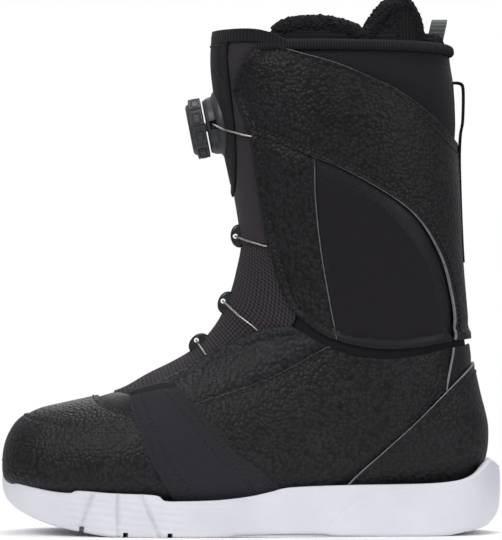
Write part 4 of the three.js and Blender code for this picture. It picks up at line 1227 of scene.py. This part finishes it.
# %% The liner's own tongue
liner_tongue = panel(
    "Liner_tongue",
    across([
        (run_of((-40, 192), (3, 192)), "plain"),
        (part_of(LINER_MOUTH, (3.6, 198), (5, 290)) - [1.4, 0], "roll"),
        (run_of((5, 292), (7, 300), (-4, 302.4), (-30, 300)), "roll"),
    ], TOP),
    [fleece, fleece], thick=5.2, inset=6.6, bevel=1.6, gap=3.4,
)
settle(liner_tongue, "tongue", "fleece", "Liner_Tongue")

# %% The collar's ribbed binding
binding_run = np.vstack([
    run_of((3.4, 291.2), (8, 292)), line([[9, 292.2], [60, 292], [113, 291], [130, 287.4]]),
])
path, out = skin_path(binding_run, BACK, 0.7, 0.34)
collar_binding = swept(
    "Collar_binding", path, out, 2.5, 3.1, [rib_tape], turns=14,
    ripple=lambda travelled, turn: 1 + 0.055 * np.sin(2 * math.pi * travelled / 1.7),
)
settle(collar_binding, "cuff", "knit", "Collar_Binding")


# %% The loops
def band(name, centre, wide, thick, finish, slot, node, across_axis=(0, 1, 0)):
    """A flat woven band along a line of points, as wide along the given axis as stated."""
    axis = np.array(across_axis, float)
    steps = np.concatenate([[0], np.cumsum(np.linalg.norm(np.diff(centre, axis=0), axis=1))])
    shares = np.linspace(-0.5, 0.5, 13)
    points = np.vstack([centre + axis * wide * s for s in shares])
    weave = np.vstack([np.column_stack([np.full(len(centre), wide * s), steps, 0 * steps]) for s in shares])
    count = len(centre)
    faces = [
        (a * count + i, a * count + i + 1, (a + 1) * count + i + 1, (a + 1) * count + i)
        for a in range(len(shares) - 1)
        for i in range(count - 1)
    ]
    made = mesh_object(name, points, faces, [finish], weave * MM)
    apply(made, "SOLIDIFY", thickness=thick * MM, offset=0)
    apply(made, "BEVEL", width=0.25 * MM, segments=2, limit_method="ANGLE", angle_limit=SHARP_EDGE)
    smooth_shade(made)
    settle(made, "cuff", slot, node)
    return made


PULL_LINE = [
    [121, 271.4], [126, 271.2], [128.2, 267.6], [128, 249], [126.6, 240], [126, 226], [126.4, 208],
    [127, 190], [127.8, 172], [128.4, 163],
]
pull = line(PULL_LINE, 1.2)
band("Rear_pull_loop", np.column_stack([pull[:, 0], 0 * pull[:, 0], pull[:, 1]]), 14, 1.3, webbing,
     "webbing", "Rear_Pull_Loop")
LOOP_LINE = [[-9, 296], [-9, 303], [-6.4, 307.6], [0, 309.2], [6.4, 307.6], [9, 303], [9, 296]]
arch = line(LOOP_LINE, 1.0)
lean = 111 + (arch[:, 1] - 296) * 0.22
band("Liner_loop", np.column_stack([lean, arch[:, 0], arch[:, 1]]), 9.2, 1.3, grey_webbing,
     "loop", "Liner_Loop", (1, 0, 0))

# %% [markdown]
# ## The sole
# The sole is one moulding of white foam rubber. Its wall is a net of rings round the plan, pressed in where
# the grooves and the fine ribs are, so that they are really there in the mesh. The tread is then cut into
# the underside, block by block.

# %% The sole's lines
SOLE_PLAN = [
    [-150, 5], [-147.6, 22], [-141, 35], [-128, 45.6], [-110, 52.8], [-88, 57.4], [-66, 59.2], [-40, 57.4],
    [-12, 52.6], [18, 47.8], [50, 45.6], [85, 45.2], [110, 43], [130, 35.4], [143.4, 21.4], [150, 0],
    [143.4, -21.4], [130, -35.4], [110, -43.2], [85, -45.6], [50, -48], [18, -52.6], [-12, -57.6],
    [-40, -59.4], [-66, -58], [-88, -52.8], [-110, -45.6], [-128, -36.4], [-141, -25], [-147.6, -12],
]
SOLE_TOP = [
    [-151, 40], [-148.4, 38], [-144.6, 33.6], [-133.8, 29.6], [-119.4, 26.8], [-108, 26], [-103, 27.4],
    [-83, 26.2], [-57, 25.2], [-51, 22], [-40, 21.7], [-18.6, 22.4], [0, 24.5], [12, 27], [24.6, 29.6],
    [60, 30.8], [90, 31.2], [111, 31.8], [125, 33.4], [134, 36.4], [140, 41], [145, 44.8], [151, 40],
]
SOLE_BOTTOM = [
    [-151, 28], [-146, 19.4], [-136, 12.6], [-120, 6.6], [-100, 2.6], [-78, 0], [-18, 0], [-6, 1.4],
    [40, 1.4], [54, 0], [110, 0], [124, 1.2], [140, 4.4], [146, 8], [149, 13], [151, 24],
]
WALL_GROOVES = (((-94.4, 25), (-104, -2)), ((-79.6, 25), (-79, -2)), ((-65.4, 25), (-53, -2)))
FLOW_LINE = ((65, 24), (46, 6))
RIB_PITCH = 4.2


def from_segment(x, z, ends):
    """How far side-view points lie from a straight stretch."""
    (ax, az), (bx, bz) = ends
    dx, dz = bx - ax, bz - az
    share = np.clip(((x - ax) * dx + (z - az) * dz) / (dx * dx + dz * dz), 0, 1)
    return np.hypot(x - ax - share * dx, z - az - share * dz)


def height_of(table, x):
    run = line(table)
    return np.interp(x, run[:, 0], run[:, 1])


# %% The wall
plan = np.array(SOLE_PLAN + SOLE_PLAN[:3], float)
plan = evenly(through(plan, np.linspace(1, len(SOLE_PLAN) + 1, 1200)), 0.9)[:-1]
tangent = np.roll(plan, -1, axis=0) - np.roll(plan, 1, axis=0)
tangent /= np.linalg.norm(tangent, axis=1)[:, None]
outside = np.column_stack([tangent[:, 1], -tangent[:, 0]])
outside *= np.sign((outside * plan).sum())
top_z, low_z = height_of(SOLE_TOP, plan[:, 0]), height_of(SOLE_BOTTOM, plan[:, 0])
EDGE_R = 2.4  # roundness of the sole's lower edge
RIM_R = 1.6  # and of its upper one


def wall_ring(share, inward):
    """One ring of the wall: its share of the way up, and how far it is taken in."""
    z = low_z + (top_z - low_z) * share
    x = plan[:, 0]
    waist = 0.5 * np.sin(math.pi * share)
    press = sum(2.0 * np.exp(-((from_segment(x, z, groove) / 1.15) ** 2)) for groove in WALL_GROOVES)
    press = press + 0.45 * np.exp(-((from_segment(x, z, FLOW_LINE) / 0.7) ** 2))
    ribbed = smooth_step((x + 112) / 6) * smooth_step((-36 - x) / 8) * smooth_step((top_z - 3 - z) / 2)
    press = press + ribbed * 0.4 * (0.5 + 0.5 * np.cos(2 * math.pi * (z + 0.10 * x) / RIB_PITCH)) ** 3
    lip = 0.5 * np.exp(-(((top_z - z - 2.6) / 0.8) ** 2)) * (1 - ribbed)
    moved = plan + outside * (waist - press - 0.5 * lip - inward)[:, None]
    return np.column_stack([moved, z])


def quarter_round(radius, count):
    """Inward distances and heights round a quarter circle, from the wall's foot to the wall."""
    turns = np.linspace(0, math.pi / 2, count)
    return radius * (1 - np.sin(turns)), radius * (1 - np.cos(turns))


rings = []
mean_wall = 26.0  # a typical height of the wall, which turns millimetres into shares
for inward, rise in zip(*quarter_round(EDGE_R, 5)):
    rings.append(wall_ring(rise / mean_wall, inward))
for share in np.linspace(EDGE_R / mean_wall, 1 - RIM_R / mean_wall, 30)[1:-1]:
    rings.append(wall_ring(share, 0.0))
for inward, drop in list(zip(*quarter_round(RIM_R, 5)))[::-1]:
    rings.append(wall_ring(1 - drop / mean_wall, inward))
for inward, share in ((4.0, 0.985), (7.5, 0.9), (9.0, 0.55), (9.5, 0.5)):
    rings.append(wall_ring(share, inward))
count = len(plan)
wall = np.vstack(rings)
faces = [
    (r * count + i, r * count + (i + 1) % count, (r + 1) * count + (i + 1) % count, (r + 1) * count + i)
    for r in range(len(rings) - 1)
    for i in range(count)
]

# %% The underside and the bed
def cap(ring, start, gap, height):
    """Fills a ring of the sole with a net that keeps the ring's points. height gives z inside it."""
    low, high = ring[:, :2].min(axis=0), ring[:, :2].max(axis=0)
    x, y = np.meshgrid(np.arange(low[0], high[0], gap), np.arange(low[1], high[1], gap))
    grid = np.column_stack([x.ravel(), y.ravel()])
    grid = grid[inside(grid, ring[:, :2])]
    grid = grid[nearest(grid, ring[:, :2])[0] > gap * 0.6]
    flat = np.vstack([ring[:, :2], grid])
    made = geometry.delaunay_2d_cdt([Vector(p) for p in flat], [], [list(range(len(ring)))], 1, 1e-5, False)
    spots = np.array([list(v) for v in made[0]])
    distance, which = nearest(spots, ring[:, :2])
    z = np.where(distance < 0.01, ring[which, 2], height(spots[:, 0]))
    return np.column_stack([spots, z]), [[start + i for i in f] for f in made[2]]


def bed_height(x):
    order = np.argsort(rings[-1][:, 0])
    return np.interp(x, rings[-1][order, 0], rings[-1][order, 2])


underside, base_faces = cap(rings[0], len(wall), 5.0, lambda x: height_of(SOLE_BOTTOM, x))
bed, bed_faces = cap(rings[-1], len(wall) + len(underside), 8.0, bed_height)
spots = np.vstack([wall, underside, bed])
outsole = mesh_object("Outsole", spots, faces + base_faces + bed_faces, [foam_rubber])
print("sole:", len(outsole.data.polygons), "faces before the tread")

# %% The tread
TREAD = [  # each row of gaps: its place, width and depth, and where it starts and ends across the sole
    *[(x, 2.6, 1.6, 6, 36) for x in range(-12, 132, 9)],
    *[(x, 3.0, 3.0, 6, 66) for x in (-104, -79, -53)],
    *[(x, 3.0, 3.0, 6, 44) for x in (-91, -66, -38, -24)],
]
cutters = []
for x, wide, deep, start, end in TREAD:
    for side in (-1, 1):
        z = float(height_of(SOLE_BOTTOM, x))
        bpy.ops.mesh.primitive_cube_add(
            size=1, location=((x + 2) * MM, side * (start + end) / 2 * MM, z * MM),
            rotation=(0, 0, side * math.radians(-8)),
        )
        cutter = bpy.context.object
        cutter.scale = (wide * MM, (end - start) * MM, 2 * deep * MM)
        cutters.append(cutter)
for run_y in (-22, 0, 22):
    for x in (-72, 92):
        bpy.ops.mesh.primitive_cube_add(size=1, location=(x * MM, run_y * MM, 0))
        cutter = bpy.context.object
        cutter.scale = (66 * MM, 2.6 * MM, 4.4 * MM)
        cutters.append(cutter)
take(*cutters)
bpy.ops.object.transform_apply(location=True, rotation=True, scale=True)
knife = merge(*cutters)
knife.name = "Tread_cutter"
apply(outsole, "BOOLEAN", operation="DIFFERENCE", object=knife, solver="EXACT", use_self=True)
bpy.data.objects.remove(knife)
smooth_shade(outsole, 40)
settle(outsole, "lower", "outsole", "Outsole")

# %% [markdown]
# ## The dial
# The dial is turned and moulded nylon: a knob with raised grips round its edge, on a short neck and a round
# foot that the lace leaves through two slots. Turned shapes are swept round the dial's own axis, which
# leans a little towards the ground.

# %% Shapes round the dial's axis
DIAL_POINT = np.array([-18.6, 0, 246.5])
DIAL_TILT = math.radians(11)
DIAL_OUT = np.array([-math.cos(DIAL_TILT), 0, -math.sin(DIAL_TILT)])
DIAL_SIDE = np.array([0, 1.0, 0])
DIAL_UP = np.cross(DIAL_OUT, DIAL_SIDE)
GRIPS = 10  # raised grips round the knob


def turned(name, profile, finishes, segments=96, shape=None):
    """A closed profile (radius, height over the tongue) swept round the dial's axis, its radii by shape."""
    profile = np.array(profile, float)
    points = []
    for k in range(segments):
        turn = 2 * math.pi * k / segments
        radius = profile[:, 0] if shape is None else shape(profile[:, 0], profile[:, 1], turn)
        way = DIAL_SIDE * math.cos(turn) + DIAL_UP * math.sin(turn)
        points.append(DIAL_POINT + radius[:, None] * way + profile[:, 1:2] * DIAL_OUT)
    count = len(profile)
    faces = []
    for k in range(segments):
        a, b = k * count, ((k + 1) % segments) * count
        faces += [(a + i, a + (i + 1) % count, b + (i + 1) % count, b + i) for i in range(count)]
    made = mesh_object(name, np.vstack(points), faces, finishes)
    smooth_shade(made, 35)
    return made


def grip_shape(radius, height, turn):
    """Ten rounded pads stand out of the knob's edge, each with a pressed outline."""
    place = (turn * GRIPS / (2 * math.pi)) % 1 - 0.5
    pad = smooth_step((0.40 - abs(place)) / 0.05)
    outline = smooth_step((0.31 - abs(place)) / 0.03) * smooth_step((2.7 - np.abs(height - 13)) / 0.5)
    inner = smooth_step((0.25 - abs(place)) / 0.03) * smooth_step((1.9 - np.abs(height - 13)) / 0.5)
    outer = radius > 16.9
    return radius + outer * (0.9 * pad - 0.5 * (outline - inner))


side_rows = [[17.4, h] for h in np.linspace(10.0, 16.2, 26)]
grip = turned(
    "Dial_grip",
    [[15.9, 9.4], [16.6, 9.2], [17.2, 9.5], *side_rows, [17.0, 16.6], [16.2, 16.9], [15.9, 16.6]],
    [nylon], segments=320, shape=grip_shape,
)
settle(grip, "dial", "dial", "Dial_Grip")
dial_cap = turned(
    "Dial_cap",
    [[0, 10.2], [15.4, 10.2], [15.7, 10.6], [15.7, 16.8], [15.4, 17.8], [14.6, 18.6], [13.4, 19.0],
     [12.6, 18.9], [12.2, 18.4], [11.6, 18.3], [6, 18.8], [0, 19.0]],
    [nylon],
)
settle(dial_cap, "dial", "dial", "Dial_Cap")


# %% The reel's foot
def foot_shape(radius, height, turn):
    """Two slots in the foot's edge let the lace out on either side."""
    gap = min(abs((turn + math.pi) % (2 * math.pi) - math.pi), abs(turn % (2 * math.pi) - math.pi))
    slot = smooth_step((0.16 - gap) / 0.05) * (height > 2.2) * (height < 6.0) * (radius > 14)
    return radius - 4.0 * slot


reel_base = turned(
    "Reel_base",
    [[0, -5], [20.6, -5], [21.2, -2.6], [21.0, -0.6], [20.2, 0.8], [19.0, 1.8], [18.0, 2.3],
     [17.6, 2.8], [17.5, 3.4], [17.3, 4.6], [17.1, 5.6], [16.9, 6.2], [16.4, 6.8], [16.2, 7.6],
     [15.6, 8.2], [14.8, 8.4], [12.6, 8.4],
     [12.4, 8.0], [12.4, 1.8], [0, 1.8]],
    [nylon], segments=160, shape=foot_shape,
)
settle(reel_base, "tongue", "dial", "Reel_Base")

# %% [markdown]
# ## The lace guides and the lace
# Each guide is a polished nylon saddle with a hole through it. The lace is a coated steel wire that runs
# from the dial to the upper guide, down under the eyestays to the other two, and back up the far side. Its
# route is the frame's own, laid on the same skin.

# %% The guides
GUIDE_PLACES = {"Lower": 10.35, "Middle": 12.5, "Upper": 15.55}
LACE_LIFT = 2.9
LACE_R = 0.6


def guide_seat(u):
    """The middle of a guide's seat, and the directions along the tongue and out of it."""
    seat = skin_at([u], 0.0)[0]
    along = (skin_at([u + 0.05], 0.0) - skin_at([u - 0.05], 0.0))[0] * [1, 0, 1]
    along /= np.linalg.norm(along)
    return seat, along, np.array([-along[2], 0, along[0]])


# Across the tongue, from one side: each ring's place and its share of the saddle's full size.
SADDLE = [(-7.0, 0.30), (-7.0, 0.72), (-6.6, 0.88), (-5.8, 0.97), (-4.6, 1.0), (-1.5, 0.93), (0, 0.91)]
SADDLE += [(-y, size) for y, size in SADDLE[-2::-1]]
SADDLE_FAR, SADDLE_HIGH = 7.2, 5.3  # half its length along the tongue, and half its height
BORE = [(6.6, 1.705), (4.5, 1.4725), (0, 1.395), (-4.5, 1.4725), (-6.6, 1.705)]  # place, radius
GUIDE_TURNS = 40


def guide(name, u, body):
    """A saddle: a short rounded bar across the tongue, bored from side to side with a flared mouth."""
    seat, along, out = guide_seat(u)
    rings = []
    for y, size in SADDLE:
        lift = LACE_LIFT * (1 - 0.9 * smooth_step((size - 0.3) / 0.5)) + 0.3
        rings.append((y, lift, SADDLE_FAR * size, SADDLE_HIGH * size))
    rings += [(y, LACE_LIFT, radius, radius) for y, radius in BORE]
    points = []
    for y, lift, far, high in rings:
        for k in range(GUIDE_TURNS):
            turn = 2 * math.pi * k / GUIDE_TURNS
            rise = lift + high * math.sin(turn)
            points.append(seat + along * far * math.cos(turn) + out * rise + [0, y, 0])
    faces = []
    for r in range(len(rings)):
        here, there = r * GUIDE_TURNS, (r + 1) % len(rings) * GUIDE_TURNS
        for k in range(GUIDE_TURNS):
            following = (k + 1) % GUIDE_TURNS
            faces.append((here + k, here + following, there + following, there + k))
    made = mesh_object(f"Lace_guide_{name}", points, faces, [black_nylon])
    apply(made, "SUBSURF", levels=1, render_levels=1)
    smooth_shade(made, 60)
    settle(made, body, "guide", f"Lace_Guide_{name}")


for name, body in (("Lower", "lower"), ("Middle", "lower"), ("Upper", "cuff")):
    guide(name, GUIDE_PLACES[name], body)

# %% The lace's route
OVER = -1.3  # depth of the lace's centre where it lies on the tongue
UNDER = 3.4  # and where it runs below a panel


def laid(side, points):
    """A stretch of lace laid on the skin: side-view x, z and the depth of its centre."""
    run = line(points, 1.5)
    u, angle = place_on_skin(run[:, :2], side)
    return skin_at(u, angle, 0.0) - outward_at(u, angle) * run[:, 2:3]


def through_guide(name, side):
    seat, along, out = guide_seat(GUIDE_PLACES[name])
    return np.array([seat + out * LACE_LIFT + [0, side * away - seat[1], 0] for away in (7.4, 4, 1)])


def beside_dial(height, side, away):
    return DIAL_POINT + DIAL_OUT * height + np.array([0, side * away, 0])


def tube(name, route, radius, finish):
    """A round wire along a route."""
    route = evenly(route, 1.0)
    out = np.tile([0.0, 1.0, 0.0], (len(route), 1))
    along = np.gradient(route, axis=0)
    along /= np.linalg.norm(along, axis=1)[:, None]
    out[np.abs(along[:, 1]) > 0.8] = [1.0, 0, 0.3]
    side = np.cross(along, out)
    side /= np.linalg.norm(side, axis=1)[:, None]
    previous = side[0]
    for i in range(1, len(side)):
        level = previous - along[i] * (previous @ along[i])
        side[i] = level / np.linalg.norm(level)
        previous = side[i]
    return swept(name, route, side, radius, radius, [finish], turns=10)


lace_from_dial = []
for side in (-1, 1):
    route = np.vstack([
        [beside_dial(4, side, 12.5)], [beside_dial(4, side, 18.5)],
        laid(side, [[-13, 243.2, -3.6], [-8.5, 241.6, -3.3], [-3.6, 239.6, -2.2], [3, 236.8, 0.6],
                    [8, 231, UNDER]]),
    ])
    lace_from_dial.append(tube(f"Lace_from_dial_{side}", line(route, 1.0), LACE_R, steel))
top_lace = merge(*lace_from_dial)
top_lace.name = "Steel_lace_top"
bending(top_lace, ("cuff", "tongue"), TOP_LACE_BEND, "steel")

outer_run = np.vstack([
    laid(-1, [[8, 231, UNDER], [17, 206, UNDER], [20, 186, UNDER], [16.4, 174.6, UNDER], [9.6, 172.6, 0.6],
              [3, 175, OVER], [-1.5, 176.6, OVER - 0.8]]),
    through_guide("Upper", -1), through_guide("Upper", 1)[::-1],
    laid(1, [[-1.5, 176.6, OVER - 0.8], [3, 175, OVER], [9.6, 172.4, 0.6], [17, 170, UNDER], [26, 156, UNDER],
             [32, 140, UNDER], [33.6, 125, UNDER], [28, 113.6, UNDER], [17, 111.4, UNDER], [9, 116.8, UNDER],
             [3.4, 122.6, 0.6], [-2, 127.2, OVER], [-6, 130.2, OVER - 0.8]]),
    through_guide("Middle", 1), through_guide("Middle", -1)[::-1],
    laid(-1, [[-6, 130.2, OVER - 0.8], [-2, 127.2, OVER], [3.4, 122.6, 0.6], [6.6, 116, UNDER],
              [0, 107.6, UNDER], [-12, 102.4, UNDER], [-22, 101.6, UNDER], [-27, 107.6, 0.6],
              [-29.4, 111, OVER], [-31, 113.4, OVER - 0.8]]),
    through_guide("Lower", -1), through_guide("Lower", 1)[::-1],
    laid(1, [[-31, 113.4, OVER - 0.8], [-29.4, 111, OVER], [-27, 107.6, 0.6], [-22, 101.6, UNDER],
             [-10, 98, UNDER], [14, 98.4, UNDER], [36, 104, UNDER], [45, 120, UNDER], [42.6, 148, UNDER],
             [35, 180, UNDER],
             [26, 208, UNDER], [15, 228, UNDER], [8, 231, UNDER]]),
])
main_lace = tube("Steel_lace", outer_run, LACE_R, steel)
bending(main_lace, ("lower", "cuff"), TONGUE_BEND, "steel", "Steel_Lace")

# %% [markdown]
# ## What lies inside
# The stiffeners, the boards and the reel's works keep the frame's own shapes, and only need their finish.

# %% Finishes of the frame's own pieces
INSIDE = {
    "Lasting_Board": board, "Toe_Puff": board, "Heel_Counter": board, "Footbed": fleece,
    "Reel_Axle": steel, "Reel_Spool": black_nylon, "Reel_Ratchet": black_nylon,
}
for node, finish in INSIDE.items():
    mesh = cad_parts[node].data
    mesh.materials.clear()
    mesh.materials.append(finish)
print("inner pieces:", len(INSIDE))
